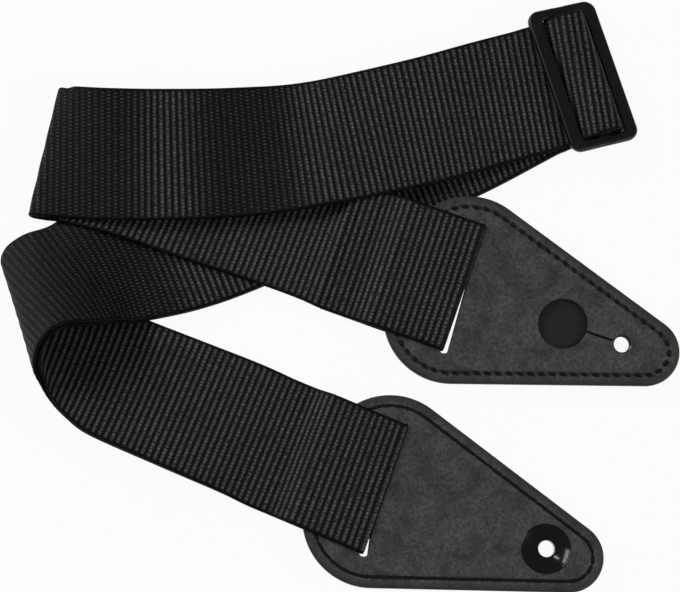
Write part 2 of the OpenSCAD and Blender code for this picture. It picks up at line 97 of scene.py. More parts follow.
# %% Place the camera
camera = bpy.data.objects.new("camera", bpy.data.cameras.new("camera"))
camera.data.lens = 91
camera.data.sensor_width = 36
camera.location = (0.001, -0.126, 0.6381)
look = Vector((0.001, -0.002, 0)) - camera.location
camera.rotation_euler = look.to_track_quat("-Z", "Y").to_euler()
bpy.context.scene.collection.objects.link(camera)
bpy.context.scene.camera = camera
bpy.context.scene.view_settings.view_transform = "Standard"
print("camera to table:", round(look.length, 3), "m")

# %% [markdown]
# ## Helpers for materials
#
# Colours are given in sRGB, and Blender computes in linear light, so one function turns hex values
# to linear. One more adds a node to a material: its settings are named, and its sockets take
# either a value or the node that feeds them.

# %% Colour and node helpers
def linear(hex_colour):
    """An sRGB hex colour as linear RGBA."""
    srgb = [int(hex_colour[i : i + 2], 16) / 255 for i in (1, 3, 5)]
    return [c / 12.92 if c <= 0.04045 else ((c + 0.055) / 1.055) ** 2.4 for c in srgb] + [1.0]


def add(tree, kind, sockets={}, **settings):
    """Adds a node with its settings, and feeds its sockets from values or other nodes."""
    node = tree.nodes.new("ShaderNode" + kind)
    for name, value in settings.items():
        setattr(node, name, value)
    for name, value in sockets.items():
        free = [s for s in node.inputs if s.enabled]
        socket = free[name] if isinstance(name, int) else next(s for s in free if s.name == name)
        if isinstance(value, bpy.types.Node):
            value = next(s for s in value.outputs if s.enabled)
        if isinstance(value, bpy.types.NodeSocket):
            tree.links.new(value, socket)
        else:
            socket.default_value = value
    return node


def new_material(name):
    """An empty material and its node tree."""
    made = bpy.data.materials.new(name)
    made.use_nodes = True
    made.node_tree.nodes.clear()
    return made, made.node_tree


print("white is", linear("#ffffff"), "and mid grey is", linear("#808080"))

# %% [markdown]
# ## Sizes
#
# All sizes are in millimetres, as they would be on a maker's drawing, and become metres only when
# a mesh is made. They repeat the solid model's. These few decide how the pieces rest on each
# other, and every other size is given with the piece that needs it.

# %% Sizes that say how the strap rests
MM = 0.001
webbing_w, webbing_t, layer_gap = 50, 1.6, 0.15
layer_pitch = webbing_t + layer_gap
slot_w, slot_l, slot_y = 2.6, 51.2, 0.7
tip_x, tip_r, neck_x = 71.5, 12.8, 62.6
cup_d, cup_h, cup_hole_d = 18.2, 2.2, 6
bar_t = 2.4
print("one layer of webbing:", webbing_w, "x", webbing_t, "mm, and layers every", layer_pitch, "mm")

# %% [markdown]
# ## Where the ends and the slider lie
#
# Each leather end, and the slider, has its own frame in which it is easy to draw: X runs along the
# strap and Z up. A rotation and a shift lay such a frame on the table: turned to its heading,
# tipped a little where it rests on something, and lifted.

# %% Lay out the three local frames
def turn(axis, degrees):
    """Rotation about X, Y or Z."""
    c, s = math.cos(math.radians(degrees)), math.sin(math.radians(degrees))
    made = np.eye(3)
    i, j = {"x": (1, 2), "y": (2, 0), "z": (0, 1)}[axis]
    made[i, i] = made[j, j] = c
    made[i, j], made[j, i] = -s, s
    return made


def laid(heading, pitch, roll, place):
    """The function that lays points of a local frame on the table."""
    rotation = turn("z", heading) @ turn("y", pitch) @ turn("x", roll)
    return lambda points: np.asarray(points, float) @ rotation.T + np.array(place, float)


cup_dome_r = ((cup_d / 2) ** 2 + cup_h**2) / (2 * cup_h)
cup_hole_rim = cup_h - cup_dome_r + math.sqrt(cup_dome_r**2 - (cup_hole_d / 2) ** 2)
tail_lift = layer_pitch + 0.05
tail_pitch = math.degrees(math.asin(tail_lift / (tip_x + tip_r)))
# The head end lies face down. It rests on its washer and on its webbing's low edge, and leans on
# the layers of webbing behind it, and these three points give its roll, pitch and lift.
lean_x, lean_y, low_y = 28, 16, slot_l / 2 - slot_y + 0.3
lean = 1 + lean_x / neck_x
head_rise = (
    2 * layer_pitch + webbing_t + 0.3 - tail_lift * lean + lean_x * cup_hole_rim / neck_x
) / (low_y * lean - cup_hole_d / 2 * lean_x / neck_x + lean_y)
head_lift = tail_lift + low_y * head_rise
head_pitch = math.degrees(
    math.asin((head_lift - cup_hole_rim - cup_hole_d / 2 * head_rise) / neck_x)
)
head_roll = math.degrees(math.atan(head_rise))
bar_z = webbing_t + layer_pitch + 0.25 + bar_t / 2
in_tail = laid(-19.4, tail_pitch, 0, (17.1, -76.1, tail_lift))
in_head = laid(-18.8, head_pitch, head_roll, (47.1, -0.9, head_lift))
in_slider = laid(17, 0, 0, (94.3, 83.3, 0))
on_slider = laid(17, 12.5, 0, (94.3, 83.3, bar_z))
print("head end: roll, pitch and lift", [round(v, 2) for v in (head_roll, head_pitch, head_lift)])

# %% [markdown]
# ## The path of the band
#
# A webbing band bends easily one way and hardly at all the other, so every shape that it takes is
# made of straight lines across it. Each ruling below is [lower edge, upper edge], in x, y and the
# height above the layers that it lies on. A smooth curve through them gives the rulings between.

# %% Rulings where the band lies free
second_run = [
    [[-15.1, -3.7, 0.4], [2.2, 43.2, 0.4]],
    [[-30, 1.9, 0], [-13.2, 49, 0]],
    [[-55, 10.2, 0.7], [-38.8, 57.5, 0]],
    [[-84, 19.5, 4], [-69, 67.2, -1.2]],
    [[-102, 24.3, 4.2], [-90, 72.7, 0.8]],
    [[-109.5, 25.9, 2], [-98, 74.4, 2.2]],
]
fold, fold_r = [[-114.6, 26.8, 1], [-101.8, 75.2, 4]], [1.6, 3.5]
top_run = [
    [[-105, 25.2, 3.3], [-98.6, 76.5, 10.5]],
    [[-93.6, 24.9, 4.2], [-89.8, 74.9, 11.5]],
    [[-82.2, 24.5, 5], [-79.6, 74.7, 11]],
    [[-71, 24.6, 4.6], [-70, 74.8, 10]],
    [[-58.3, 25, 3.8], [-58, 75.3, 8.5]],
    [[-44.9, 25.7, 3], [-46.8, 76.1, 6.5]],
    [[-32.1, 26.9, 2.4], [-37.1, 77, 4.6]],
    [[-17.1, 29, 3], [-23.9, 78.1, 2]],
    [[-5.8, 31, 3.8], [-13.2, 79.7, 0.6]],
    [[9.3, 34, 3.2], [-0.5, 82.1, 0.6]],
    [[41.3, 41.3, 0.4], [28, 89.5, 0.4]],
    [[66, 48.8, -1.2], [51.5, 96.7, -1.2]],
]
double_run = [
    [[50.2, 35, 0], [29.7, 80.5, 0]],
    [[10, 18.3, 0], [-11, 63.7, 0]],
    [[-28, 1.4, 0], [-48, 47.3, 0]],
    [[-51, -7.1, 0.3], [-66, 40.6, 0.2]],
    [[-72, -12.6, 4.2], [-84, 36, 1.4]],
    [[-81.2, -14.8, 14], [-99, 30.6, 2.4]],
    [[-89.5, -17, 24.4], [-108.4, 23, 3.4]],
    [[-96.4, -18.6, 28.2], [-117.6, 20.2, 3.7]],
    [[-101.8, -21.2, 29.8], [-123.2, 16.4, 3.7]],
    [[-105.4, -25.5, 29], [-125.4, 13.1, 3.2]],
    [[-107.4, -29.8, 26.6], [-125.6, 10.3, 2.4]],
    [[-108, -34.2, 23.4], [-124.3, 8, 1.6]],
    [[-106.5, -38.5, 19.6], [-121.4, 5.6, 0.8]],
    [[-104.2, -43.7, 17.2], [-113.8, 2.8, 0.2]],
    [[-99, -49.8, 15], [-99, -1.7, 0]],
    [[-88.4, -57.3, 13], [-72.3, -11.3, 0]],
    [[-66, -67.1, 9], [-48.5, -20.4, 0]],
    [[-44, -76, 3.4], [-28.2, -28.6, 0]],
]
double_z = webbing_t / 2 + layer_pitch / 2
second_z = webbing_t / 2 + 2 * layer_pitch
top_z = webbing_t / 2 + 3 * layer_pitch
print("rulings by hand:", len(second_run) + len(top_run) + len(double_run))


# %% Curves through rulings, and the small turns round edges and bars
def raised(rulings, z):
    """Rulings lifted onto the layers below them."""
    return np.array(rulings, float) + [0, 0, z]


def smooth(rulings, first=0, last=None, steps=16):
    """A Catmull-Rom curve through rulings, from one of them to another."""
    s = np.asarray(rulings)
    last = len(s) - 2 if last is None else last
    made = []
    for i in range(first, last + 1):
        p0, p1, p2, p3 = s[max(i - 1, 0)], s[i], s[i + 1], s[min(i + 2, len(s) - 1)]
        for t in np.arange(steps) / steps:
            made.append(0.5 * (2 * p1 + (p2 - p0) * t + (2 * p0 - 5 * p1 + 4 * p2 - p3) * t**2
                               + (3 * p1 - p0 - 3 * p2 + p3) * t**3))
    return np.array(made)


def straight_across(path, y=0, skew=0, x0=0):
    """Rulings straight across a path of x and z, with the band drifting sideways behind x0."""
    return np.array([
        [[x, y - skew * min(x - x0, 0) + side * webbing_w / 2, z] for side in (-1, 1)]
        for x, z in path
    ])


def half_turn(x, z, r, start, end, n=16):
    """Part of a circle in the x-z plane."""
    a = np.radians(np.linspace(start, end, n + 1))
    return [[x + r * math.cos(b), z + r * math.sin(b)] for b in a]


def ease(t):
    """From 0 to 1, starting and ending level."""
    return t * t * (3 - 2 * t)


print("a half turn round a bar, in mm:", half_turn(0, 0, 2.25, -90, 90, 2))


# %% Lengths, directions, and a second layer beside the first
def layer(rulings, offset):
    """The same run moved off its own surface, for one of two layers that lie together."""
    middle = rulings.mean(1)
    across = unit(rulings[:, 1] - rulings[:, 0])
    facing = unit(np.cross(unit(np.gradient(middle, axis=0)), across))
    centre = middle + facing * offset
    half = webbing_w / 2
    return np.stack([centre - across * half, centre + across * half], 1)


def unit(v):
    """Directions of length 1."""
    return v / np.linalg.norm(v, axis=-1, keepdims=True)


def travelled(points):
    """How far along a line each of its points lies."""
    return np.concatenate([[0], np.cumsum(np.linalg.norm(np.diff(points, axis=0), axis=1))])


print("along three points 3 and 4 mm apart:", travelled(np.array([[0, 0], [3, 0], [3, 4]])))

# %% [markdown]
# ## Round the slots, the fold and the slider
#
# At each end the band goes through the slot and doubles back under itself. At the slider it passes
# under the near bar, over the middle bar and back underneath, and its last stretch is sewn round
# the middle bar. These turns are tight, so they are drawn as arcs.

# %% Rulings round the two slots
# Drift is how far the band wanders sideways for each millimetre behind a slot or the slider. An
# end is end_t thick, and the webbing runs webbing_y to one side of its middle.
head_drift, tail_drift, strand_drift = 0.012, 0.06, -0.14
end_t, webbing_y = 4, 0.9
flex_x, leg_x, head_flex_z = -38, -27.5, 1.35
turned_x, turned_z = -49, 1.95
tail_flex_z = (double_z - tail_lift + flex_x * math.sin(math.radians(tail_pitch))) / math.cos(
    math.radians(tail_pitch)
)


def slot_path(upper, lower):
    """Down one leg, through the slot round the leather's edge, and back along the other leg."""
    top, bottom = end_t + layer_gap + webbing_t / 2, -layer_gap - webbing_t / 2
    edge, r = -slot_w / 2 - 0.05, layer_gap + webbing_t / 2
    leg = [[flex_x + 0.5 + (leg_x - flex_x - 0.5) * t, ease(t)] for t in np.linspace(0, 1, 19)]
    return (
        [[x, upper + (top - upper) * k] for x, k in leg]
        + [[(leg_x + edge) / 2, top]]
        + half_turn(edge, end_t, r, 90, 0, 8)
        + half_turn(edge, 0, r, 0, -90, 8)
        + [[(leg_x + edge) / 2, bottom]]
        + [[x, lower + (bottom - lower) * k] for x, k in leg[::-1]]
    )


slope = (turned_z - head_flex_z) / (turned_x - flex_x)
head_loop = [[turned_x, turned_z - layer_pitch], [flex_x, head_flex_z - layer_pitch]] + slot_path(
    head_flex_z, head_flex_z - layer_pitch
)[::-1]
head_rulings = [
    [x, head_flex_z + slope * (x - flex_x)]
    for x in (flex_x, (flex_x + turned_x) / 2, turned_x, turned_x - 1)
]


def drawn_to_one_side(rulings, upper, lower):
    """Webbing never sits square in its slot: each edge is pulled towards or off the far side."""
    near = ease(np.clip((rulings[..., 0] + 12) / 10.5, 0, 1))
    rulings[..., 0] += near * [lower, upper]
    return rulings


tail_loop = slot_path(tail_flex_z + layer_pitch / 2, tail_flex_z - layer_pitch / 2)
tail_rulings = [[flex_x - 8, tail_flex_z], [flex_x, tail_flex_z]]
at_head = straight_across(head_loop, webbing_y, head_drift)
at_head = in_head(drawn_to_one_side(at_head, 0.15, -0.2))
behind_head = in_head(straight_across(head_rulings, webbing_y, head_drift))
at_tail = straight_across(tail_loop, webbing_y, tail_drift)
at_tail = in_tail(drawn_to_one_side(at_tail, 0.15, 0.0))
behind_tail = in_tail(straight_across(tail_rulings, webbing_y, tail_drift))
print("rulings round the slots:", len(at_head), "and", len(at_tail))

# %% Rulings round the fold and through the slider
out = np.array(fold[1]) - np.array(fold[0])
out = unit(np.array([-out[1], out[0], 0]))
fold_start, fold_turn = np.array(fold) + [0, 0, second_z], []
for a in np.radians(np.linspace(-90, 90, 19)):
    way = out * math.cos(a) + np.array([0, 0, 1 + math.sin(a)])
    fold_turn.append([p + r * way for p, r in zip(fold_start, fold_r)])
over_r = bar_z - webbing_t / 2
weave = [
    [-22, second_z], [-16, second_z], [-9.8, second_z], [-8.2, second_z + 0.7],
    [-6.4, second_z + 2], [-4, second_z + 3.4], [-1.5, bar_z + over_r + 0.15],
] + half_turn(3.6, bar_z, over_r, 90, -90, 8) + [[-10, webbing_t / 2]]
loop_r = bar_t / 2 + 0.25 + webbing_t / 2
sewn = [[-20, webbing_t / 2 + layer_pitch], [-10, webbing_t / 2 + layer_pitch]] + half_turn(
    0.9, bar_z, loop_r, -90, 90
) + [
    [-1.2, bar_z + loop_r + 0.15], [-3.2, second_z + 1.3],
    [-4.6, second_z + 0.15], [-6.4, second_z],
]
under = [[-10, double_z], [-16, double_z], [-20, double_z]]
under_slider = in_slider(straight_across(under, 0, strand_drift, -10))
print("the band turns over the middle bar at a radius of", round(over_r, 2), "mm")

# %% One band, from the turned end at the head to the loop sewn round the slider
feed = np.concatenate([raised(top_run, top_z), in_slider(straight_across(weave))])
double = np.concatenate([under_slider, raised(double_run, double_z), behind_tail])
double = np.concatenate([smooth(double), double[-1:]])
out_and_over = [
    at_head,
    smooth(np.concatenate([behind_head, raised(second_run, second_z)])),
    fold_turn,
    smooth(feed, 0, 9),
    smooth(feed, 10, steps=8),
]
inner, outer = layer(double, layer_pitch / 2), layer(double, -layer_pitch / 2)
bar_loop = in_slider(straight_across(sewn, 0, strand_drift, -10))
sewn_at = int(np.argmin(np.linalg.norm(outer.mean(1) - bar_loop[0].mean(0), axis=1)))
band = np.concatenate(out_and_over + [inner, at_tail, outer[sewn_at + 1 :][::-1], bar_loop])
print("rulings along the whole band:", len(band))

# %% Even out the path and measure it
def even(rulings, step=0.35, soften=0.4):
    """Evenly spaced rulings, with the joins between arcs and curves softened."""
    along = travelled(rulings.mean(1))
    keep = np.concatenate([[True], np.diff(along) > 1e-6])
    rulings, along = rulings[keep], along[keep]
    at = np.arange(0, along[-1], step)
    flat = rulings.reshape(len(rulings), 6)
    made = np.stack([np.interp(at, along, flat[:, i]) for i in range(6)], 1)
    reach = int(3 * soften / step) + 1
    kernel = np.exp(-0.5 * (np.arange(-reach, reach + 1) * step / soften) ** 2)
    kernel /= kernel.sum()
    padded = np.pad(made, ((reach, reach), (0, 0)), mode="edge")
    made = np.stack([np.convolve(padded[:, i], kernel, "valid") for i in range(6)], 1)
    return made.reshape(-1, 2, 3)


rulings = even(band)
middle = rulings.mean(1)
across = unit(rulings[:, 1] - rulings[:, 0])
tangent = unit(np.gradient(middle, axis=0))
facing = unit(np.cross(tangent, across))
distance = travelled(middle)
lean_along = np.sum(across * tangent, 1)
print("length of the band:", round(distance[-1]), "mm")


# %% How far along the flat band each thread of warp has come
def nearest(x, y, after, before):
    """The ruling nearest to a place on the table, on one stretch of the band."""
    far = np.linalg.norm(middle[:, :2] - [x, y], axis=1)
    return int(np.argmin(far + 1e3 * ((distance < after) | (distance > before))))


calm_places = [
    (-15, 23, 0, 250), (-70, 48, 260, 400), (-35, 51, 300, 450), (10, 60, 300, 500),
    (70, 72, 400, 560), (40, 58, 540, 640), (-10, 35, 560, 680), (-40, 18, 580, 760),
    (-62, -42, 700, 850), (-20, -60, 700, 850), (-20, -60, 860, 960), (-62, -42, 890, 1000),
    (-40, 18, 1030, 1180), (-10, 35, 1050, 1230),
]
calm = [0] + [nearest(*place) for place in calm_places] + [len(distance) - 1]
assert calm == sorted(calm), calm


def along_warp(w):
    """Distance along the flat band of the warp thread at w across. Where the band lies calm, the
    rulings' slant gives it. Between those places each thread's own length shares it out."""
    run = travelled(middle + across * w)
    made = np.zeros(len(run))
    for a, b in zip(calm, calm[1:]):
        start, stop = (distance[i] + w * lean_along[i] for i in (a, b))
        made[a : b + 1] = start + (stop - start) * (run[a : b + 1] - run[a]) / (run[b] - run[a])
    return made


print("calm places along the band, in mm:", [round(distance[i]) for i in calm])

# %% [markdown]
# ## Ribs
#
# Each rib of this webbing is one thick weft cord, and the warp threads wrap it from both sides, so
# the webbing is a row of cords with a groove between them. The ribs are real geometry here: the
# thickness rises and falls along the band, eight points to a rib. They stay square to the
# selvedges even where the rulings slant, because each is placed by its distance along the flat
# band. Every point also keeps its place on the flat band, in millimetres, for the weave's pattern.

# %% Where the band is slack
def hump(centre, reach):
    """1 along a stretch of the band, easing to 0 at its ends."""
    return ease(np.clip((reach + 9 - np.abs(distance - centre)) / 18, 0, 1))


slack_places = [
    (1, 18, (-37, 51, 300, 450)), (1, 20, (-112, 50, 240, 400)), (1, 34, (-105, 20, 600, 760)),
    (1, 34, (-105, 20, 950, 1100)), (0.8, 7, (*in_slider([0, 0, 0])[:2], 420, 560)),
]
slack = np.maximum.reduce([
    share * hump(distance[nearest(*place)], reach) for share, reach, place in slack_places
])
print("slack along the band:", [round(float(v), 1) for v in slack[::200]])

# %% Across the band, and how a mesh is made
selvedge = [(25, 0.36), (24.86, 0.62), (24.55, 0.85), (24.1, 0.96)]
face_columns = [(-w, k) for w, k in selvedge]
face_columns += [(w, 1) for w in np.linspace(-23.4, 23.4, 19)] + selvedge[::-1]
points_per_rib = 8


def make_mesh(name, points, faces):
    """A mesh object in metres from points in millimetres."""
    mesh = bpy.data.meshes.new(name)
    mesh.from_pydata((np.asarray(points) * MM).tolist(), [], [list(map(int, f)) for f in faces])
    mesh.validate()
    mesh.polygons.foreach_set("use_smooth", [True] * len(mesh.polygons))
    made = bpy.data.objects.new(name, mesh)
    bpy.context.scene.collection.objects.link(made)
    return made


def note(piece, name, values):
    """Keeps one number at each point of a mesh."""
    made = piece.data.attributes.new(name, "FLOAT", "POINT")
    made.data.foreach_set("value", np.asarray(values, np.float32))


print("points across one face of the webbing:", len(face_columns))


# %% Ribs on a stretch of the band
rib_pitch, rib_depth = 2.45, 0.44


def rib_sections(first_rib, last_rib):
    """Places along the flat band, how slack each is, and how far its surface sinks beside a rib."""
    place = np.arange(first_rib * points_per_rib, last_rib * points_per_rib + 1) / points_per_rib
    ridge = np.abs(np.sin(np.pi * (place % 1)))
    rng = np.random.default_rng(first_rib + 7)
    each_rib = rng.normal(0, 0.03, last_rib - first_rib + 3)
    uneven = np.interp(place, np.arange(first_rib - 1, last_rib + 2), each_rib)
    flat = place * rib_pitch
    loose = np.interp(flat, distance, slack)
    return flat, loose, (rib_depth * (1 - ridge) - uneven * ridge) * (1 - 0.55 * loose)


def thread_of_warp(flat, w):
    """Centre line and normals of the warp thread at w across, at places along the flat band."""
    steps = np.arange(len(distance))
    at = np.interp(flat, along_warp(w), steps)
    line, side, out = (
        np.stack([np.interp(at, steps, values[:, i]) for i in range(3)], 1)
        for values in (middle, across, facing)
    )
    return line + side * w, unit(out)


def webbing(name, first_rib, last_rib):
    """A stretch of the band between two grooves, as a closed ribbed mesh."""
    flat, loose, sink = rib_sections(first_rib, last_rib)
    top, bottom = [], []
    for w, k in face_columns:
        centre, out = thread_of_warp(flat, w)
        depth = np.clip((webbing_w / 2 + 0.2 - abs(w)) / 1.7, 0.1, 1)
        half = (webbing_t / 2 + 0.03) * k * (1 - sink * depth)
        top.append(centre + out * half[:, None])
        bottom.append(centre - out * half[:, None])
    loop = np.stack(top + bottom[::-1], 1)
    n, m = loop.shape[:2]
    grid = np.arange(n * m).reshape(n, m)
    nxt = np.roll(grid, -1, 1)
    faces = np.stack([grid[:-1], nxt[:-1], nxt[1:], grid[1:]], -1).reshape(-1, 4).tolist()
    for row, turned in ((grid[0], 1), (grid[-1], -1)):
        for i in range(len(top) - 1):
            faces.append([row[i], row[m - 1 - i], row[m - 2 - i], row[i + 1]][::turned])
    columns = [w for w, _ in face_columns]
    piece = make_mesh(name, loop.reshape(-1, 3), faces)
    note(piece, "along", np.repeat(flat, m))
    note(piece, "across", np.tile(columns + columns[::-1], n))
    note(piece, "slack", np.repeat(loose, m))
    print(name, "has", last_rib - first_rib, "ribs and", n * m, "points")
    return piece


# %% [markdown]
# ## Where the band is cut
#
# The strap moves in three places: each leather end swings at its slot, and the slider slides. A
# mesh bends across one joint, so the band is cut in four, at grooves that other layers hide.

# %% Four stretches of webbing
def rib_near(x, y, after=0, before=1e9):
    """The groove nearest to a place on the table."""
    return int(round(distance[nearest(x, y, after, before)] / rib_pitch))


cut_1 = rib_near(-85, 45, 0, 330)
cut_2 = rib_near(-25, 25, 420, 760)
cut_3 = rib_near(-25, 25, 1000, 1200)
last = int(distance[-1] / rib_pitch)
head_webbing = webbing("webbing_to_head_end", 0, cut_1)
slider_webbing = webbing("webbing_through_slider", cut_1, cut_2)
tail_webbing = webbing("webbing_to_tail_end", cut_2, cut_3)
sewn_webbing = webbing("webbing_sewn_to_slider", cut_3, last)
for piece in (slider_webbing, sewn_webbing):
    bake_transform(piece)
in_head([-39.5, webbing_y, 0]) * MM
in_head([-29, webbing_y, 0]) * MM
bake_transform(head_webbing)
in_tail([-46, webbing_y, 0]) * MM
in_tail([-29, webbing_y, 0]) * MM
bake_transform(tail_webbing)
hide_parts("long_webbing", "turned_end", "head_webbing_loop")
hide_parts("slider_webbing")
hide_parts("inner_webbing", "outer_webbing", "tail_webbing_loop")
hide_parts("slider_webbing_loop")
stretches = {
    head_webbing: cut_1, slider_webbing: cut_2 - cut_1,
    tail_webbing: cut_3 - cut_2, sewn_webbing: last - cut_3,
}
print("cuts at ribs", cut_1, cut_2, cut_3, "of", last)

# %% [markdown]
# ## Black nylon webbing, ribbed and heat set
#
# Nylon filament is smooth and a little glossy, so each float of warp over a rib catches a small
# highlight, while the grooves between ribs lie in shade. Both are painted into the colour: a
# painted highlight on each float, and painted shade, nearly black, in the grooves. The floats are
# 1.35 mm apart and step over by half of that from rib to rib, which gives the staggered dots that
# the eye sees as weave. Where the band is slack the ribs lie flatter, and their painted bright
# lines break up into single dots.
#
# A drawing of webbing wrapped onto the band would blur close up and stretch at the folds. A
# pattern worked out from each point's place on the flat band stays sharp and square everywhere.

# %% Ribs and floats of the weave
float_pitch = 1.35
nylon, tree = new_material("black_nylon_webbing_woven")
along = add(tree, "Attribute", attribute_name="along").outputs["Fac"]
side = add(tree, "Attribute", attribute_name="across").outputs["Fac"]
slack_softens_ribs_and_painted_light = add(tree, "Attribute", attribute_name="slack").outputs["Fac"]
ribs = add(tree, "Math", {0: along, 1: rib_pitch}, operation="DIVIDE")
swing = add(tree, "Math", {0: ribs, 1: math.pi}, operation="MULTIPLY")
up_and_down = add(tree, "Math", {0: swing}, operation="SINE")
ridge = add(tree, "Math", {0: up_and_down}, operation="ABSOLUTE")
rib_number = add(tree, "Math", {0: ribs}, operation="FLOOR")
stagger = add(tree, "Math", {0: rib_number, 1: 0.5}, operation="MULTIPLY")
in_floats = add(tree, "Math", {0: side, 1: float_pitch}, operation="DIVIDE")
floats = add(tree, "Math", {0: in_floats, 1: stagger}, operation="ADD")
turns = add(tree, "Math", {0: floats, 1: 2 * math.pi}, operation="MULTIPLY")
to_and_fro = add(tree, "Math", {0: turns}, operation="COSINE")
wave = add(tree, "Math", {0: to_and_fro, 1: 0.5, 2: 0.5}, operation="MULTIPLY_ADD")
print("floats every", float_pitch, "mm on ribs every", rib_pitch, "mm")

# %% Lines of light on taut ribs, and beads on slack ones
# The pattern fades out 1.6 to 0.7 mm from each edge, where selvedge threads cover the ribs.
crest = add(tree, "Math", {0: ridge, 1: 4.0}, operation="POWER")
unbroken = add(tree, "MapRange", {"Value": wave, "To Min": 0.42, "To Max": 1.0})
line = add(tree, "Math", {0: crest, 1: unbroken}, operation="MULTIPLY")
round_top = add(tree, "Math", {0: wave, 1: 2.5}, operation="POWER")
bead = add(tree, "Math", {0: crest, 1: round_top}, operation="MULTIPLY")
from_middle = add(tree, "Math", {0: side}, operation="ABSOLUTE")
to_selvedge = {"From Min": 23.4, "From Max": 24.3, "To Min": 1.0, "To Max": 0.0}
inner = add(tree, "MapRange", {"Value": from_middle, **to_selvedge})
pattern = add(tree, "Mix", {"Factor": slack_softens_ribs_and_painted_light, "A": line, "B": bead}, data_type="FLOAT")
dot = add(tree, "Math", {0: pattern, 1: inner}, operation="MULTIPLY")
print("nodes in the pattern:", len(tree.nodes))

# %% Colour of the weave, with painted highlights and painted groove shade
# Single floats get a painted highlight, stronger or weaker every 1.25 mm or so, and the thread's
# tone drifts every 20 mm.
glint_change_per_mm, shade_per_mm = 0.8, 0.05
flat_place = add(tree, "CombineXYZ", {"X": along, "Y": side, "Z": 0.0})
patchy = {"Vector": flat_place, "Scale": glint_change_per_mm, "Detail": 3.0, "Roughness": 0.75}
glint_noise = add(tree, "TexNoise", patchy)
glints = {"From Min": 0.34, "From Max": 0.66, "To Min": 0.05, "To Max": 1.35}
glint_strength = add(tree, "MapRange", {"Value": glint_noise, **glints})
lit_dot = add(tree, "Math", {0: dot, 1: glint_strength}, operation="MULTIPLY", use_clamp=True)
# Painted shade: grooves are painted nearly black and ribs a little lighter; slack stretches fill in
# the painted groove shade, and near the edges the colour falls to it.
level = add(tree, "MapRange", {"Value": slack_softens_ribs_and_painted_light, "To Min": 0.0, "To Max": 0.6})
filled = add(tree, "Math", {0: ridge, 1: level}, operation="MAXIMUM")
raised_part = add(tree, "Math", {0: filled, 1: inner}, operation="MULTIPLY")
painted_groove_shade = {"Factor": raised_part, "A": linear("#040405"), "B": linear("#111113")}
# Painted highlight: the floats are painted in pale greys, dimmer where the band is slack.
highlight_greys = {"Factor": slack_softens_ribs_and_painted_light, "A": linear("#68686c"), "B": linear("#505053")}
groove_shade_to_rib = add(tree, "Mix", painted_groove_shade, data_type="RGBA")
painted_highlight = add(tree, "Mix", highlight_greys, data_type="RGBA")
# Painted light: the painted highlight is laid over the painted groove shade.
lit = {"Factor": lit_dot, "A": groove_shade_to_rib, "B": painted_highlight}
thread_black_with_painted_light = add(tree, "Mix", lit, data_type="RGBA")
broad = add(tree, "TexNoise", {"Vector": flat_place, "Scale": shade_per_mm, "Detail": 2.0})
drift = {"From Min": 0.3, "From Max": 0.7, "To Min": 0.88, "To Max": 1.1}
shade = add(tree, "MapRange", {"Value": broad, **drift})
shaded = {"Factor": 1.0, "A": thread_black_with_painted_light, "B": shade}
coloured = add(tree, "Mix", shaded, data_type="RGBA", blend_type="MULTIPLY")
print("nodes with the colour:", len(tree.nodes))

# %% Relief of the weave
# Nylon filament, about 0.03 mm, is too fine to show, so the fibres are drawn 0.17 mm apart.
fibres_per_mm = (1.2, 6.0, 1.0)
stretched = add(tree, "VectorMath", {0: flat_place, 1: fibres_per_mm}, operation="MULTIPLY")
fibres = add(tree, "TexNoise", {"Vector": stretched, "Scale": 1.0, "Detail": 2.0})
fine = add(tree, "Math", {0: fibres, 1: 0.25}, operation="MULTIPLY")
relief = add(tree, "Math", {0: dot, 1: 0.75, 2: fine}, operation="MULTIPLY_ADD")
bump = add(tree, "Bump", {"Height": relief, "Strength": 0.8, "Distance": 0.00022})
woven = {"Base Color": coloured, "Roughness": 0.62, "Normal": bump, "Specular IOR Level": 0.12}
add(tree, "OutputMaterial", {"Surface": add(tree, "BsdfPrincipled", woven)})
for piece in stretches:
    piece.data.materials.append(nylon)
print("stretches in", nylon.name + ":", len(stretches))

# %% [markdown]
# ## Cut sheets: leather layers and the slider's plate
#
# A leather end is cut from a sheet with a die, and the slider is a flat moulding, so both are one
# outline with holes. The outline is filled with triangles between rings of points that follow each
# edge. The rings near an edge sink in a quarter circle, which gives the edge its rounding, and a
# ring can also sink into a groove. Nothing is subtracted, so every edge stays clean.

# %% Outlines, drawn in or out by a margin
def arc(x, y, r, start, end, step):
    """Points of an arc, about a step apart."""
    n = max(3, int(abs(math.radians(end - start)) * r / step))
    a = np.radians(np.linspace(start, end, n + 1))
    return np.stack([x + r * np.cos(a), y + r * np.sin(a)], 1)


def joined(parts, step):
    """One closed loop through parts, with long gaps filled."""
    corners = np.concatenate(parts)
    made = []
    for a, b in zip(corners, np.roll(corners, -1, 0)):
        n = max(1, int(round(np.linalg.norm(b - a) / step)))
        made += [a + (b - a) * i / n for i in range(n) if np.linalg.norm(b - a) > 1e-6]
    return np.array(made)


corner_r, corner_x, corner_y = 25.6, -1.1, 10.3
side_angle = math.degrees(
    math.atan2(-corner_y, tip_x - corner_x)
    + math.acos((corner_r - tip_r) / math.hypot(tip_x - corner_x, corner_y))
)


def end_outline(margin, step=0.9):
    """Outline of a leather end, drawn in by a margin."""
    r = corner_r - margin
    return joined([
        arc(corner_x, -corner_y, r, 180, 360 - side_angle, step),
        arc(tip_x, 0, tip_r - margin, -side_angle, side_angle, step),
        arc(corner_x, corner_y, r, side_angle, 180, step),
    ], step)


# The webbing pulls the slot's far side in to slot_shut_x, and it gapes to slot_gape_x at one end.
slot_shut_x, slot_gape_x = 0.42, 1.75


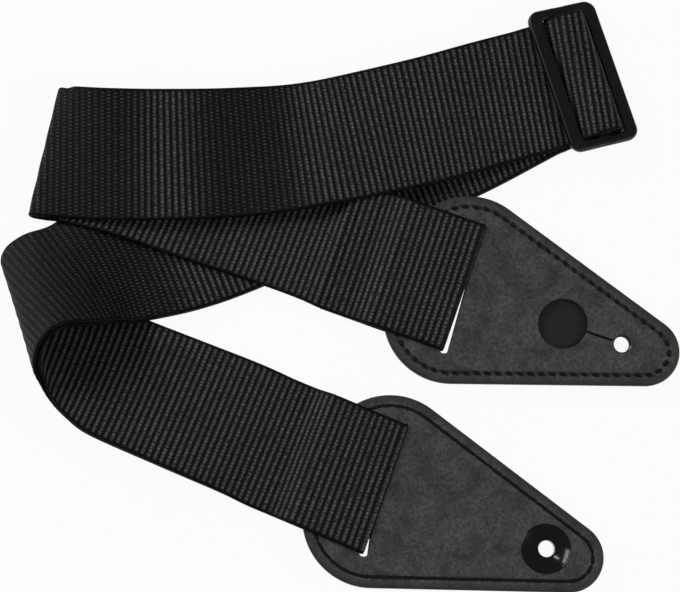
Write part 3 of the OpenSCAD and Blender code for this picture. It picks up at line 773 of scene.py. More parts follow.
def pulled_slot(open_below):
    """A slot whose far side lies against the webbing, and gapes where it is pulled open."""
    def outline(margin, step=0.9):
        r, y = slot_w / 2 + margin, (slot_l - slot_w) / 2
        ends = [arc(0, slot_y + y, r, 0, 180, 0.4), arc(0, slot_y - y, r, 180, 360, 0.4)]
        loop = joined(ends, step)
        gape = np.clip((open_below - loop[:, 1]) / (open_below - slot_y + y), 0, 1)
        far_side = np.clip(loop[:, 0] / r, 0, 1)
        loop[:, 0] += far_side * (slot_shut_x - slot_w / 2 + (slot_gape_x - slot_shut_x) * gape)
        return loop
    return outline


def round_hole(x, y, d, step=0.7):
    """A round hole, drawn out by a margin."""
    return lambda margin: arc(x, y, d / 2 + margin, 0, 360, step)[:-1]


print("points round the leather end:", len(end_outline(0)), "and its slot:", len(pulled_slot(0)(0)))


# %% Outlines of the keyhole and of a rounded box
neck_d, entry_x, entry_d, slit_w = 6.8, 39.2, 18.6, 0.8


def keyhole(margin, step=0.8):
    """Entry hole, slit and neck hole in one."""
    big, small, half = entry_d / 2 + margin, neck_d / 2 + margin, slit_w / 2 + margin
    a, b = math.degrees(math.asin(half / big)), math.degrees(math.asin(half / small))
    return joined([
        arc(entry_x, 0, big, a, 360 - a, step),
        arc(neck_x, 0, small, 180 + b, 540 - b, step),
    ], step)


def rounded_box(w, h, r, x=0):
    """A rectangle with rounded corners, drawn in by a margin."""
    def outline(margin, step=0.9):
        a, b, c = w / 2 - margin, h / 2 - margin, max(r - margin, 0.05)
        return joined([
            arc(x + sx * (a - c), sy * (b - c), c, start, start + 90, 0.35)
            for sx, sy, start in ((1, -1, -90), (1, 1, 0), (-1, 1, 90), (-1, -1, 180))
        ], step)
    return outline


print("the long sides of a leather end lean", round(90 - side_angle, 1), "degrees")


# %% Which points lie inside an outline, and how far from it
def inside(points, loop):
    """Which points lie inside a closed loop."""
    x, y = points[:, 0][:, None], points[:, 1][:, None]
    a, b = loop, np.roll(loop, -1, 0)
    crosses = (a[:, 1] > y) != (b[:, 1] > y)
    with np.errstate(divide="ignore", invalid="ignore"):
        at = a[:, 0] + (y - a[:, 1]) * (b[:, 0] - a[:, 0]) / (b[:, 1] - a[:, 1])
    return (crosses & (x < at)).sum(1) % 2 == 1


def off(points, loop):
    """Distance of points from a closed loop."""
    a, b = loop[None], np.roll(loop, -1, 0)[None]
    d = b - a
    t = np.clip(((points[:, None] - a) * d).sum(2) / np.maximum((d * d).sum(2), 1e-12), 0, 1)
    return np.linalg.norm(points[:, None] - a - d * t[..., None], axis=2).min(1)


past_tip, edge = np.array([[tip_x + tip_r + 1, 0]]), end_outline(0)
print("past the tip: inside", inside(past_tip, edge), "off by", off(past_tip, edge).round(2))


# %% Fill an outline and give it two faces
def fill_points(edge, cuts, loops, grid):
    """A triangular grid inside an outline and outside its holes, clear of the rings of points."""
    low, high = edge.min(0), edge.max(0)
    row = grid * 0.87
    x, y = np.meshgrid(np.arange(low[0], high[0], grid), np.arange(low[1], high[1], row))
    x[1::2] += grid / 2
    fill = np.stack([x.ravel(), y.ravel()], 1)
    fill = fill[inside(fill, edge)]
    fill = fill[np.minimum.reduce([off(fill, loop) for loop in loops]) > grid * 0.4]
    for cut in cuts:
        fill = fill[~inside(fill, cut)]
    return fill


def flat_mesh(edge, cuts, loops, grid):
    """Points and triangles that fill an outline around its holes, all turned the same way."""
    points, edges = [], []
    for loop in loops:
        n = len(points)
        points += loop.tolist()
        edges += [(n + i, n + (i + 1) % len(loop)) for i in range(len(loop))]
    points += fill_points(edge, cuts, loops, grid).tolist()
    verts, _, triangles, *_ = delaunay_2d_cdt([Vector(p) for p in points], edges, [], 0, 1e-5)
    verts = np.array([tuple(v) for v in verts])
    triangles = np.array([t for t in triangles if len(t) == 3])
    centre = verts[triangles].mean(1)
    keep = inside(centre, edge)
    for cut in cuts:
        keep &= ~inside(centre, cut)
    used, triangles = np.unique(triangles[keep], return_inverse=True)
    triangles, verts = triangles.reshape(-1, 3), verts[used]
    a, b, c = (verts[triangles[:, i]] for i in range(3))
    area = (b - a)[:, 0] * (c - a)[:, 1] - (b - a)[:, 1] * (c - a)[:, 0]
    triangles[area < 0] = triangles[area < 0][:, ::-1]
    return verts, triangles


ring_loops = [end_outline(0), end_outline(2)]
sample_points, sample_triangles = flat_mesh(ring_loops[0], [], ring_loops, 6)
print("a coarse end takes", len(sample_points), "points and", len(sample_triangles), "triangles")


# %% Give a filled outline two faces and walls
def side_walls(verts, triangles, high, low, levels=3):
    """Points and faces of the walls between the two faces, and the points they hang from."""
    n = len(verts)
    sides = {(t[i], t[(i + 1) % 3]): True for t in triangles for i in range(3)}
    rim = [s for s in sides if (s[1], s[0]) not in sides]
    corner = {}
    for v in sorted({v for s in rim for v in s}):
        corner[v] = [v] + [2 * n + len(corner) * levels + k for k in range(levels)] + [n + v]
    walls = [
        [*verts[v], high[v] + (low[v] - high[v]) * (k + 1) / (levels + 1)]
        for v in corner for k in range(levels)
    ]
    faces = [
        [corner[a][k], corner[a][k + 1], corner[b][k + 1], corner[b][k]]
        for a, b in rim for k in range(levels + 1)
    ]
    return np.array(walls), faces, np.repeat(list(corner), levels)


def cut_sheet(name, outline, holes, margins, hole_margins, top, bottom, place, grid=2.4):
    """A sheet cut to an outline with holes. top and bottom give each face's height, from the
    points, their distance from the outline and their distance from the nearest hole."""
    loops = [outline(m) for m in margins] + [hole(m) for hole in holes for m in hole_margins]
    edge, cuts = outline(0), [hole(0) for hole in holes]
    verts, triangles = flat_mesh(edge, cuts, loops, grid)
    from_edge = off(verts, edge)
    from_hole = np.minimum.reduce([off(verts, cut) for cut in cuts])
    high, low = top(verts, from_edge, from_hole), bottom(verts, from_edge, from_hole)
    walls, wall_faces, above = side_walls(verts, triangles, high, low)
    n = len(verts)
    points = np.concatenate([np.column_stack([verts, high]), np.column_stack([verts, low]), walls])
    faces = triangles.tolist() + (triangles[:, ::-1] + n).tolist() + wall_faces
    piece = make_mesh(name, place(points), faces)
    note(piece, "from_edge", np.concatenate([from_edge, from_edge, from_edge[above]]))
    note(piece, "upper", np.concatenate([np.ones(n), np.zeros(n), np.repeat(0.5, len(walls))]))
    note(piece, "flat_x", points[:, 0])
    note(piece, "flat_y", points[:, 1])
    print(name, "has", len(points), "points")
    return piece


def rounding(distance_in, r):
    """How far a face sinks near an edge that is rounded by r."""
    inward = np.clip(distance_in / r, 0, 1)
    return r * (1 - np.sqrt(np.clip(1 - (1 - inward) ** 2, 0, 1)))


print("an edge rounded by 1 mm sinks", rounding(np.array([0, 0.5, 1]), 1).round(2), "mm")


# %% [markdown]
# ## Leather ends
#
# Each end is two layers of 2 mm leather, glued and sewn all round. The back layer has the keyhole
# that a strap button goes into, and the front layer carries a cup washer. Leather is never dead
# flat: it crowns a little between its seams and sinks into them, and the needle's holes pull the
# surface down at every stitch.

# %% Where every stitch goes
seam_inset, stitch_pitch = 4, 4


def seam_path():
    """Points all round the seam, and how far along it each of them lies."""
    loop = end_outline(seam_inset, 0.25)
    loop = np.concatenate([loop, loop[:1]])
    return loop, travelled(loop)


seam_loop, seam_along = seam_path()
stitches = round(seam_along[-1] / stitch_pitch)


def seam_place(d):
    """Points on the seam at distances along it."""
    d = np.mod(d, seam_along[-1])
    return np.stack([np.interp(d, seam_along, seam_loop[:, i]) for i in (0, 1)], -1)


needle_holes = seam_place(np.arange(stitches) * seam_along[-1] / stitches)
print("stitches in one seam:", stitches)


# %% How the grain side rises and sinks
def waves(points, size, seed):
    """Low, smooth unevenness between -1 and 1."""
    rng = np.random.default_rng(seed)
    total = np.zeros(len(points))
    for _ in range(7):
        a = rng.uniform(0, 2 * math.pi)
        k = 2 * math.pi / size * rng.uniform(0.6, 1.4)
        total += np.sin(points @ [k * math.cos(a), k * math.sin(a)] + rng.uniform(0, 6.3))
    return total / 7


def seam_groove(points, from_edge, depth):
    """The sunk line of a seam, deeper at each needle hole."""
    near = np.abs(from_edge - seam_inset) / 0.85
    line = np.where(near < 1, 0.5 + 0.5 * np.cos(math.pi * np.clip(near, 0, 1)), 0)
    hole = np.linalg.norm(points[:, None] - needle_holes, axis=2).min(1)
    return depth * line + 0.3 * np.exp(-((hole / 0.6) ** 2))


print("unevenness at three places:", waves(np.array([[0, 0], [20, 5], [40, 0]]), 26, 3).round(2))


# %% The leather layers
leather_t, barrel_d = 2, 8.4


def leather_layer(name, place, base, outer_side, holes, seed, depth):
    """A layer of leather from base up. outer_side is 1 where its top is the grain side."""
    def grain_side(points, from_edge, from_hole):
        crown = 0.12 * (1 - np.exp(-from_edge / 6))
        crown += 0.07 * waves(points, 26, seed) * np.clip(from_edge / 5, 0, 1)
        return (leather_t - 0.1 + crown - rounding(from_edge, 0.75) - rounding(from_hole, 0.45)
                - seam_groove(points, from_edge, depth))

    def flesh_side(points, from_edge, from_hole):
        return rounding(from_edge, 0.12) + rounding(from_hole, 0.12)

    if outer_side == 1:
        top = lambda *a: base + grain_side(*a)
        bottom = lambda *a: base + flesh_side(*a)
    else:
        top = lambda *a: base + leather_t - flesh_side(*a)
        bottom = lambda *a: base + leather_t - grain_side(*a)
    piece = cut_sheet(name, end_outline, holes, edge_rings, hole_rings, top, bottom, place)
    note(piece, "grain_side", piece_side(piece, outer_side))
    return piece


def piece_side(piece, outer_side):
    """1 on the grain side, 0 on the flesh side."""
    upper = np.zeros(len(piece.data.vertices), np.float32)
    piece.data.attributes["upper"].data.foreach_get("value", upper)
    return upper if outer_side == 1 else 1 - upper


def turned_over(place):
    """The same frame with its front side down."""
    return lambda points: place(np.asarray(points, float) * [1, 1, -1] + [0, 0, end_t])


head_over = turned_over(in_head)
edge_rings = (0, 0.06, 0.2, 0.42, 0.75, 1.6, 3.15, 3.45, 3.75, 4, 4.25, 4.55, 4.85, 6.5)
hole_rings = (0, 0.05, 0.15, 0.3, 0.5, 1.2)
washer_hole = round_hole(neck_x, 0, barrel_d + 0.1)
leathers = []
ends_laid = (("tail", in_tail, 3, -17), ("head", head_over, 8, 2))
for who, place, seed, open_below in ends_laid:
    slot = pulled_slot(open_below)
    # The last number of each layer is the share of painted shade in its seam groove.
    for side_name, base, outer_side, hole, deep, groove_shade_share in (
        ("front", leather_t, 1, washer_hole, 0.42, 0.85), ("back", 0, 0, keyhole, 0.3, 0.2),
    ):
        seed_here = seed + 1 - outer_side
        name = f"{who}_{side_name}_cut_leather"
        piece = leather_layer(name, place, base, outer_side, [slot, hole], seed_here, deep)
        if who == "head":
            piece.data.flip_normals()
        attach(piece, who + "_end")
        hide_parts(f"{who}_{side_name}_leather")
        note(piece, "seam_groove_shade", np.full(len(piece.data.vertices), groove_shade_share))
        leathers.append(piece)
print("leather layers:", [piece.name for piece in leathers])

# %% [markdown]
# ## Dark oiled leather
#
# This leather is dyed dark grey and rubbed with oil and wax. The wax darkens where the skin is
# handled, so the rim outside the seam is darker, and the seam's own groove gets painted shade. The
# flat field is mottled with smudges the size of a fingertip and a few small stains. The grain is
# a net of fine creases about half a millimetre across. The flesh side inside is darker still.
# No one pattern holds all of that, so several are laid over each other, each at its own size.

# %% Colour of the leather
# Smudges are about 10 mm across, stains 6 mm and flecks of wax 1.4 mm.
smudge_per_mm, stain_per_mm, fleck_per_mm = 0.1, 0.16, 0.7
oiled_leather, tree = new_material("dark_grey_leather_oiled")
# The last attribute is the share of painted shade in each seam groove.
place_x, place_y, from_edge, grain_side, groove_shade_share = (
    add(tree, "Attribute", attribute_name=name).outputs["Fac"]
    for name in ("flat_x", "flat_y", "from_edge", "grain_side", "seam_groove_shade")
)
skin = add(tree, "CombineXYZ", {"X": place_x, "Y": place_y, "Z": 0.0})
soft = {"Vector": skin, "Scale": smudge_per_mm, "Detail": 6.0, "Roughness": 0.62}
mottle = add(tree, "TexNoise", {**soft, "Distortion": 0.6})
smudge = add(tree, "MapRange", {"Value": mottle, "From Min": 0.32, "From Max": 0.62})
greys = {"Factor": smudge, "A": linear("#262624"), "B": linear("#484845")}
base = add(tree, "Mix", greys, data_type="RGBA")
sharp = {"Vector": skin, "Scale": fleck_per_mm, "Detail": 6.0, "Roughness": 0.8}
speckle = add(tree, "TexNoise", sharp)
flecks = {"From Min": 0.4, "From Max": 0.6, "To Min": 0.45, "To Max": 1.5}
fleck = add(tree, "MapRange", {"Value": speckle, **flecks})
flecked = {"Factor": 1.0, "A": base, "B": fleck}
dyed = add(tree, "Mix", flecked, data_type="RGBA", blend_type="MULTIPLY")
print("nodes in the dyed colour:", len(tree.nodes))

# %% Stains, the handled rim, painted shade in the seam groove and the flesh side
ragged = {"Vector": skin, "Scale": stain_per_mm, "Detail": 5.0, "Roughness": 0.7}
stain = add(tree, "TexNoise", {**ragged, "Distortion": 2.2})
spots = add(tree, "MapRange", {"Value": stain, "From Min": 0.56, "From Max": 0.7, "To Max": 0.6})
spotted = {"Factor": spots, "A": dyed, "B": linear("#1d1d1c")}
stained = add(tree, "Mix", spotted, data_type="RGBA")
handled = {"From Min": 0.4, "From Max": 3.4, "To Min": 0.85, "To Max": 0.0}
rim_part = add(tree, "MapRange", {"Value": from_edge, **handled})
at_rim = {"Factor": rim_part, "A": stained, "B": linear("#1f1e1d")}
rimmed = add(tree, "Mix", at_rim, data_type="RGBA")
# Painted shade in the seam's groove, nearly black, strong on the front layers and weak on the back.
past_seam = add(tree, "Math", {0: from_edge, 1: seam_inset}, operation="SUBTRACT")
from_seam = add(tree, "Math", {0: past_seam}, operation="ABSOLUTE")
in_groove = {"From Min": 0.25, "From Max": 0.8, "To Min": 1.0, "To Max": 0.0}
trough = add(tree, "MapRange", {"Value": from_seam, **in_groove})
painted_seam_shade = add(tree, "Math", {0: trough, 1: groove_shade_share}, operation="MULTIPLY")
at_seam = {"Factor": painted_seam_shade, "A": rimmed, "B": linear("#161615")}
seam_shaded = add(tree, "Mix", at_seam, data_type="RGBA")
loose_hairs = add(tree, "MapRange", {"Value": speckle, "From Min": 0.55, "From Max": 0.75})
rough_side = {"Factor": loose_hairs, "A": linear("#030303"), "B": linear("#1f1e1d")}
flesh = add(tree, "Mix", rough_side, data_type="RGBA")
both_sides = {"Factor": grain_side, "A": flesh, "B": seam_shaded}
skin_colour = add(tree, "Mix", both_sides, data_type="RGBA")
print("nodes in the whole colour:", len(tree.nodes))

# %% Grain of the leather
creases_per_mm, pores_per_mm = 1.9, 3.5
cells = {"Vector": skin, "Scale": creases_per_mm, "Randomness": 1.0}
creases = add(tree, "TexVoronoi", cells, feature="DISTANCE_TO_EDGE")
net = add(tree, "MapRange", {"Value": creases, "From Min": 0.0, "From Max": 0.18})
pores = add(tree, "TexNoise", {"Vector": skin, "Scale": pores_per_mm, "Detail": 3.0})
pitted = add(tree, "Math", {0: pores, 1: 0.5}, operation="MULTIPLY")
grain = add(tree, "Math", {0: net, 1: 0.6, 2: pitted}, operation="MULTIPLY_ADD")
bump = add(tree, "Bump", {"Height": grain, "Strength": 0.35, "Distance": 0.00012})
gloss = add(tree, "MapRange", {"Value": smudge, "To Min": 0.5, "To Max": 0.64})
oiled = {"Base Color": skin_colour, "Roughness": gloss, "Normal": bump}
add(tree, "OutputMaterial", {"Surface": add(tree, "BsdfPrincipled", oiled)})
for piece in leathers:
    piece.data.materials.append(oiled_leather)
print("grain cells about", round(1 / creases_per_mm, 2), "mm across")

# %% [markdown]
# ## Stitches
#
# The seams are lock stitches in bonded black thread, six to the inch. Each stitch that shows is a
# short length of twisted thread whose ends dive into the needle holes, and the machine lays it a
# few degrees off the line of the seam. Painted dashes would look flat where light comes from the
# side, so every stitch is a small tube of its own.

# %% Thread laid from hole to hole
twist_pitch = 0.8


def one_stitch(a, b, up, d, sink, crown, slant, rings=11, ring_points=8):
    """Points of a thread from a to b, bowed up in the middle, and their place in the twist."""
    length = np.linalg.norm(b - a)
    along = (b - a) / length
    beside = np.cross(up, along)
    points, plies = [], []
    for i in range(rings):
        t = -1 + 2 * i / (rings - 1)
        r = d / 2 * (1 - 0.45 * t**6)
        lift = crown - (sink + crown) * abs(t) ** 5
        centre = (a + b) / 2 + along * (t * length / 2) + up * lift + beside * (slant * t)
        for k in range(ring_points):
            q = 2 * math.pi * k / ring_points
            points.append(centre + beside * math.cos(q) * r + up * math.sin(q) * r * 0.8)
            plies.append(i * length / (rings - 1) / twist_pitch + k / ring_points)
    return points, plies


def tube_faces(n, rings=11, ring_points=8):
    """Faces of a closed tube whose points start at n."""
    ring = list(range(ring_points))
    faces = []
    for m in range(n, n + (rings - 1) * ring_points, ring_points):
        for k, after in zip(ring, ring[1:] + ring[:1]):
            faces.append([m + k, m + after, m + ring_points + after, m + ring_points + k])
    faces.append([n + k for k in ring][::-1])
    faces.append([n + (rings - 1) * ring_points + k for k in ring])
    return faces


def thread(name, starts, ends, ups, d, place, sink=0.75, crown=0.12, slant=0.0):
    """Short threads between pairs of points."""
    points, faces, plies = [], [], []
    for a, b, up in zip(starts, ends, ups):
        faces += tube_faces(len(points))
        more_points, more_plies = one_stitch(a, b, up, d, sink, crown, slant)
        points += more_points
        plies += more_plies
    piece = make_mesh(name, place(np.array(points)), faces)
    note(piece, "ply", plies)
    print(name, "has", len(starts), "stitches")
    return piece


print("faces of one stitch:", len(tube_faces(0)))


# %% The seams round the leather ends
def seam_threads(name, place, top_depth, bottom_depth, share, d):
    """Both faces of one seam: how deep each lies, and how much of the pitch each stitch fills."""
    step = seam_along[-1] / stitches
    starts, ends, ups = [], [], []
    for z, up in ((end_t - top_depth, 1), (bottom_depth, -1)):
        for halfway in (np.arange(stitches) + 0.5) * step:
            a, b = seam_place(halfway + np.array([-0.5, 0.5]) * step * share)
            starts.append([*a, z])
            ends.append([*b, z])
            ups.append([0, 0, up])
    starts, ends, ups = (np.array(v, float) for v in (starts, ends, ups))
    return thread(name, starts, ends, ups, d, place, sink=0.45, crown=0.1, slant=0.2)


tail_seam = seam_threads("tail_seam_thread", in_tail, 0.3, 0.3, 0.92, 1.15)
head_seam = seam_threads("head_seam_thread", head_over, 0.3, 0.05, 0.62, 1.5)
head_seam.data.flip_normals()
for who, piece in (("tail", tail_seam), ("head", head_seam)):
    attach(piece, who + "_end")
    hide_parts(who + "_seam")
print("one stitch every", round(seam_along[-1] / stitches, 2), "mm")

# %% The box of stitches that holds the turned end down
def turned_end_rows():
    """Rows along and across the turned end, as pairs of points on the webbing."""
    inset, corner_gap = 1.6, 1.2
    x0, x1, y1 = -inset, turned_x - flex_x + inset, webbing_w / 2 - 2.4
    rows = [((x0 - corner_gap, s * y1), (x1 + corner_gap, s * y1)) for s in (-1, 1)]
    rows += [((x, corner_gap - y1), (x, y1 - corner_gap)) for x in (x0, x1)]
    starts, ends = [], []
    for a, b in rows:
        a, b = np.array(a, float), np.array(b, float)
        n = round(np.linalg.norm(b - a) / stitch_pitch)
        step = (b - a) / n
        for i in range(n):
            c = a + step * (i + 0.5)
            starts.append([*(c - step * 0.4), 0])
            ends.append([*(c + step * 0.4), 0])
    return np.array(starts), np.array(ends)


def on_turned_end(points):
    """Lays points of a flat drawing on top of the turned end."""
    tilt = turn("y", -math.degrees(math.atan(slope)))
    tilted = (np.asarray(points) + [0, 0, webbing_t / 2]) @ tilt.T
    return in_head(tilted + [flex_x, webbing_y - head_drift * flex_x, head_flex_z])


starts, ends = turned_end_rows()
ups = np.tile([0, 0, 1.0], (len(starts), 1))
box_seam = thread("turned_end_thread", starts, ends, ups, 0.5, on_turned_end, sink=0.3, crown=-0.12)
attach(box_seam, "strap")
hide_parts("turned_end_stitching")
print("stitches in the box:", len(starts))

# %% Thread material
# Bonded thread is coated with resin after twisting, so it is a dull black, and only the tops of
# its plies catch a little light; that light is painted in as a paler black on the ply tops.
bonded, tree = new_material("black_polyester_thread_bonded")
ply = add(tree, "Attribute", attribute_name="ply").outputs["Fac"]
turns = add(tree, "Math", {0: ply, 1: 2 * math.pi}, operation="MULTIPLY")
lay = add(tree, "Math", {0: turns}, operation="SINE")
twist = add(tree, "MapRange", {"Value": lay, "From Min": -1.0})
blacks = {"Factor": twist, "A": linear("#020203"), "B": linear("#0b0b0c")}
bump = add(tree, "Bump", {"Height": twist, "Strength": 0.8, "Distance": 0.00012})
# Painted highlight: the ply tops are painted a paler black.
black_with_painted_ply_highlight = add(tree, "Mix", blacks, data_type="RGBA")
resin = {"Base Color": black_with_painted_ply_highlight, "Roughness": 0.6, "Normal": bump, "Specular IOR Level": 0.2}
add(tree, "OutputMaterial", {"Surface": add(tree, "BsdfPrincipled", resin)})
for piece in (tail_seam, head_seam, box_seam):
    piece.data.materials.append(bonded)
print("thread plies turn once in", twist_pitch, "mm")

# %% [markdown]
# ## Cup washers
#
# A cup washer is a disc of sheet steel pressed into a low dome with its hole rolled down into a
# barrel. The barrel goes through the leather and is clinched over a plain ring behind it. This one
# is stove enamelled black, which gives it a deep gloss with a slight orange peel. Like anything
# round, it is quickest to make as on a lathe, from half of its outline turned about its axis.

# %% Cup washer, turned from its profile
def turned(name, profile, place, steps=96):
    """A closed profile of radius and height points, turned about the washer's axis."""
    a = np.linspace(0, 2 * math.pi, steps, endpoint=False)
    n = len(profile)
    points = [[neck_x + r * math.cos(b), r * math.sin(b), z] for b in a for r, z in profile]
    grid = np.arange(steps * n).reshape(steps, n)
    beside, above = np.roll(grid, -1, 0), np.roll(grid, -1, 1)
    faces = np.stack([grid, beside, np.roll(beside, -1, 1), above], -1).reshape(-1, 4)
    return make_mesh(name, place(np.array(points)), faces)


def dome(r, radius=cup_dome_r):
    """Height of a dome of this radius at r from the axis."""
    return cup_h - cup_dome_r + math.sqrt(radius**2 - r**2)


hole_r, rim_r, barrel_r, flange_z = cup_hole_d / 2, cup_d / 2, barrel_d / 2, -leather_t
lip, lip_angles = 0.45, np.radians([30, 60, 90])
cup_t, flange_r = 0.8, barrel_r + 0.75
under_r = cup_dome_r - cup_t
barrel = [
    (hole_r, flange_z + 0.05), (flange_r, flange_z + 0.05), (flange_r, flange_z + 0.33),
    (barrel_r, flange_z + 0.35), (barrel_r, 0.9),
]
under_dome = [(r, dome(r, under_r)) for r in np.linspace(barrel_r + 0.3, rim_r - 1.25, 8)]
rim = [(rim_r - 0.95, 0.02), (rim_r - 0.35, 0.02), (rim_r - 0.08, 0.14), (rim_r - 0.02, 0.34)]
over_dome = [(r, dome(r)) for r in np.linspace(rim_r - 0.35, hole_r + lip, 16)]
rolled_lip = [
    (hole_r + lip * (1 - math.sin(b)), dome(hole_r + lip) - lip * (1 - math.cos(b)))
    for b in lip_angles
]
washer_profile = barrel + under_dome + rim + over_dome + rolled_lip
print("points on the washer's profile:", len(washer_profile))

# %% Black enamel
# Orange peel is a little over a millimetre across, and the haze of handling about 4 mm.
peel_per_m, haze_per_m = 900.0, 260.0
enamel, tree = new_material("black_enamelled_steel_pressed")
spot = add(tree, "TexCoord").outputs["Object"]
peel = add(tree, "TexNoise", {"Vector": spot, "Scale": peel_per_m, "Detail": 1.0})
haze = add(tree, "TexNoise", {"Vector": spot, "Scale": haze_per_m, "Detail": 4.0})
bump = add(tree, "Bump", {"Height": peel, "Strength": 0.12, "Distance": 0.0001})
dulled = {"From Min": 0.3, "From Max": 0.7, "To Min": 0.1, "To Max": 0.2}
gloss = add(tree, "MapRange", {"Value": haze, **dulled})
blacks = {"Factor": haze, "A": linear("#030304"), "B": linear("#09090b")}
tint = add(tree, "Mix", blacks, data_type="RGBA")
coat = {"Specular IOR Level": 0.3, "Coat Weight": 0.25, "Coat Roughness": 0.06}
stoved = {"Base Color": tint, "Roughness": gloss, "Normal": bump, **coat}
add(tree, "OutputMaterial", {"Surface": add(tree, "BsdfPrincipled", stoved)})
print("washer finish:", enamel.name)

# %% A washer in each end
for who, place in (("tail", in_tail), ("head", head_over)):
    on_front = lambda p, place=place: place(np.asarray(p) + [0, 0, end_t])
    washer = turned(who + "_cup_washer_pressed", washer_profile, on_front)
    if who == "head":
        washer.data.flip_normals()
    washer.data.materials.append(enamel)
    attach(washer, who + "_end")
    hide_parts(who + "_cup_washer")
print("the dome rises", cup_h, "mm over", cup_d, "mm")

# %% [markdown]
# ## Clinch rings
#
# The ring behind each washer is plain zinc plated steel. It lies in a recess between the leather
# layers, so its solid is kept, with a plated finish.

# %% Plated steel for the clinch rings
# Zinc clouds over in patches about 1.4 mm across.
cloud_per_m = 700.0
plated, tree = new_material("zinc_plated_steel_stamped")
spot = add(tree, "TexCoord").outputs["Object"]
cloud = add(tree, "TexNoise", {"Vector": spot, "Scale": cloud_per_m, "Detail": 4.0})
greys = {"Factor": cloud, "A": linear("#9a9b9c"), "B": linear("#b9babb")}
tint = add(tree, "Mix", greys, data_type="RGBA")
gloss = add(tree, "MapRange", {"Value": cloud, "To Min": 0.25, "To Max": 0.45})
bump = add(tree, "Bump", {"Height": cloud, "Strength": 0.2, "Distance": 0.00005})
zinc = {"Base Color": tint, "Metallic": 1.0, "Roughness": gloss, "Normal": bump}
add(tree, "OutputMaterial", {"Surface": add(tree, "BsdfPrincipled", zinc)})
for who in ("tail", "head"):
    ring = frame["nodes"][who + "_clinch_ring"]
    ring.data.materials.clear()
    ring.data.materials.append(plated)
print("clinch rings carry", plated.name)

# %% [markdown]
# ## Slider
#
# The slider is one moulding of black acetal: two outer bars, two side rails and a middle bar, with
# every edge rounded as it comes from the mould. Its surface is satin, with a faint texture from a
# spark-eroded mould. Windows cut out of a box would need every edge bevelled afterwards, so it is
# built like the leather, as a sheet whose faces sink to round its edges.

# %% Slider frame
# The side rails are drawn as wide as the webbing leaves them, a little wider than in the solids.
slider_x, slider_y, outer_bar_w, side_rail_w = 28.5, 58.2, 5.4, 4.05
bar_w, plate_t, plate_r = 4, 2.8, 4.5


def slider_face(sign):
    """The height of the slider's upper or lower face, lower over the thin middle bar."""
    def face(points, from_edge, from_hole):
        on_bar = np.clip((bar_w / 2 + 0.3 - np.abs(points[:, 0])) / 0.6, 0, 1)
        sunk = 0.5 * (plate_t - bar_t) * ease(on_bar)
        return sign * (plate_t / 2 - sunk - rounding(from_edge, 0.9) - rounding(from_hole, 0.9))
    return face


window_w = slider_x / 2 - outer_bar_w - bar_w / 2
window_x = bar_w / 2 + window_w / 2
window_l, window_r = slider_y - 2 * side_rail_w, 1.2
windows = [rounded_box(window_w, window_l, window_r, x=s * window_x) for s in (-1, 1)]
windows = [(lambda margin, w=w: w(-margin)) for w in windows]
rings = (0, 0.05, 0.17, 0.36, 0.6, 0.9)
slider = cut_sheet("slider_frame_moulded", rounded_box(slider_x, slider_y, plate_r), windows,
                   rings, rings, slider_face(1), slider_face(-1), on_slider, grid=1.6)
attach(slider, "slider")
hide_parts("slider_frame")
print("each window of the slider:", round(window_w, 2), "x", round(window_l, 2), "mm")

# %% Moulded acetal
# A spark-eroded mould leaves pits of about 0.05 mm. They are drawn 0.4 mm across, so that they
# show. The gloss drifts every 11 mm, as the plastic flowed in.
pits_per_m, flow_per_m = 2600.0, 90.0
acetal, tree = new_material("black_acetal_moulded")
spot = add(tree, "TexCoord").outputs["Object"]
pitted = {"Vector": spot, "Scale": pits_per_m, "Detail": 3.0, "Roughness": 0.7}
eroded = add(tree, "TexNoise", pitted)
bump = add(tree, "Bump", {"Height": eroded, "Strength": 0.25, "Distance": 0.00008})
flow = add(tree, "TexNoise", {"Vector": spot, "Scale": flow_per_m, "Detail": 3.0})
blacks = {"Factor": flow, "A": linear("#050506"), "B": linear("#0c0c0e")}
tint = add(tree, "Mix", blacks, data_type="RGBA")
satin = {"From Min": 0.3, "From Max": 0.7, "To Min": 0.36, "To Max": 0.48}
gloss = add(tree, "MapRange", {"Value": flow, **satin})
moulded = {"Base Color": tint, "Roughness": gloss, "Normal": bump, "Specular IOR Level": 0.35}
add(tree, "OutputMaterial", {"Surface": add(tree, "BsdfPrincipled", moulded)})
slider.data.materials.append(acetal)
print("slider finish:", acetal.name)

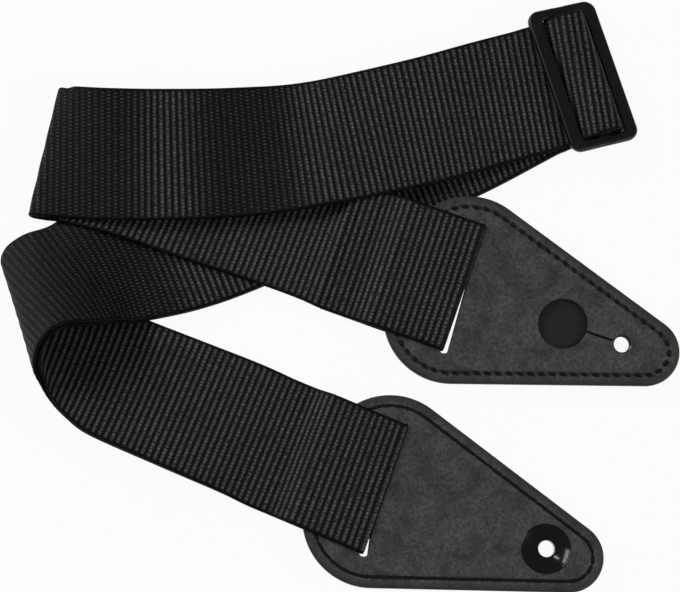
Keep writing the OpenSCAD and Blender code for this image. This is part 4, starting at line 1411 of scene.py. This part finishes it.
# %% [markdown]
# ## Studio
#
# Black webbing shows its ribs only if light comes across them, so one big soft light stands at the
# far left, a weaker one opposite, and a narrow one on the right draws the bright lines in the
# enamel. The table is white to the camera and to reflections, and still takes a soft shadow.

# %% Table, world and lights
table_z = solid_box[0][2] - 0.00005
bpy.ops.mesh.primitive_grid_add(
    x_subdivisions=4, y_subdivisions=4, size=6, location=(0, 0, table_z)
)
table = bpy.context.object
table.name = "table"
paper, tree = new_material("white_paper_roll")
rays = add(tree, "LightPath")
direct, mirrored = rays.outputs["Is Camera Ray"], rays.outputs["Is Glossy Ray"]
through = rays.outputs["Is Transmission Ray"]
either = add(tree, "Math", {0: direct, 1: mirrored}, operation="MAXIMUM")
sees_white = add(tree, "Math", {0: either, 1: through}, operation="MAXIMUM")
share = add(tree, "Math", {0: sees_white, 1: 0.94}, operation="MULTIPLY")
matt = add(tree, "BsdfDiffuse", {"Color": linear("#f4f4f4")})
glow = add(tree, "Emission", {"Color": linear("#ffffff"), "Strength": 1.0})
add(tree, "OutputMaterial", {"Surface": add(tree, "MixShader", {0: share, 1: matt, 2: glow})})
table.data.materials.append(paper)

world = bpy.data.worlds.new("studio")
world.use_nodes = True
world.node_tree.nodes.clear()
room = add(world.node_tree, "Background", {"Color": linear("#ffffff"), "Strength": 0.2})
add(world.node_tree, "OutputWorld", {"Surface": room})
bpy.context.scene.world = world


def soft_light(name, place, aim, size, watts):
    """A rectangular soft light."""
    lamp = bpy.data.lights.new(name, "AREA")
    lamp.shape, lamp.size, lamp.size_y, lamp.energy = "RECTANGLE", *size, watts
    made = bpy.data.objects.new(name, lamp)
    made.location = place
    made.rotation_euler = (Vector(aim) - made.location).to_track_quat("-Z", "Y").to_euler()
    bpy.context.scene.collection.objects.link(made)
    return made


soft_light("key", (-1.1, 0.7, 0.85), (0, 0, 0), (0.7, 0.7), 15)
soft_light("fill", (1.2, -0.4, 0.6), (0, 0, 0), (0.6, 0.6), 6)
soft_light("edge", (0.418, -0.284, 0.578), (0.076, -0.097, 0), (0.03, 0.16), 0.25)

# %% [markdown]
# ## Finish
#
# The four stretches of webbing are flat goods. The last line prints the solid model's box.

print("solid model:", solid_box)
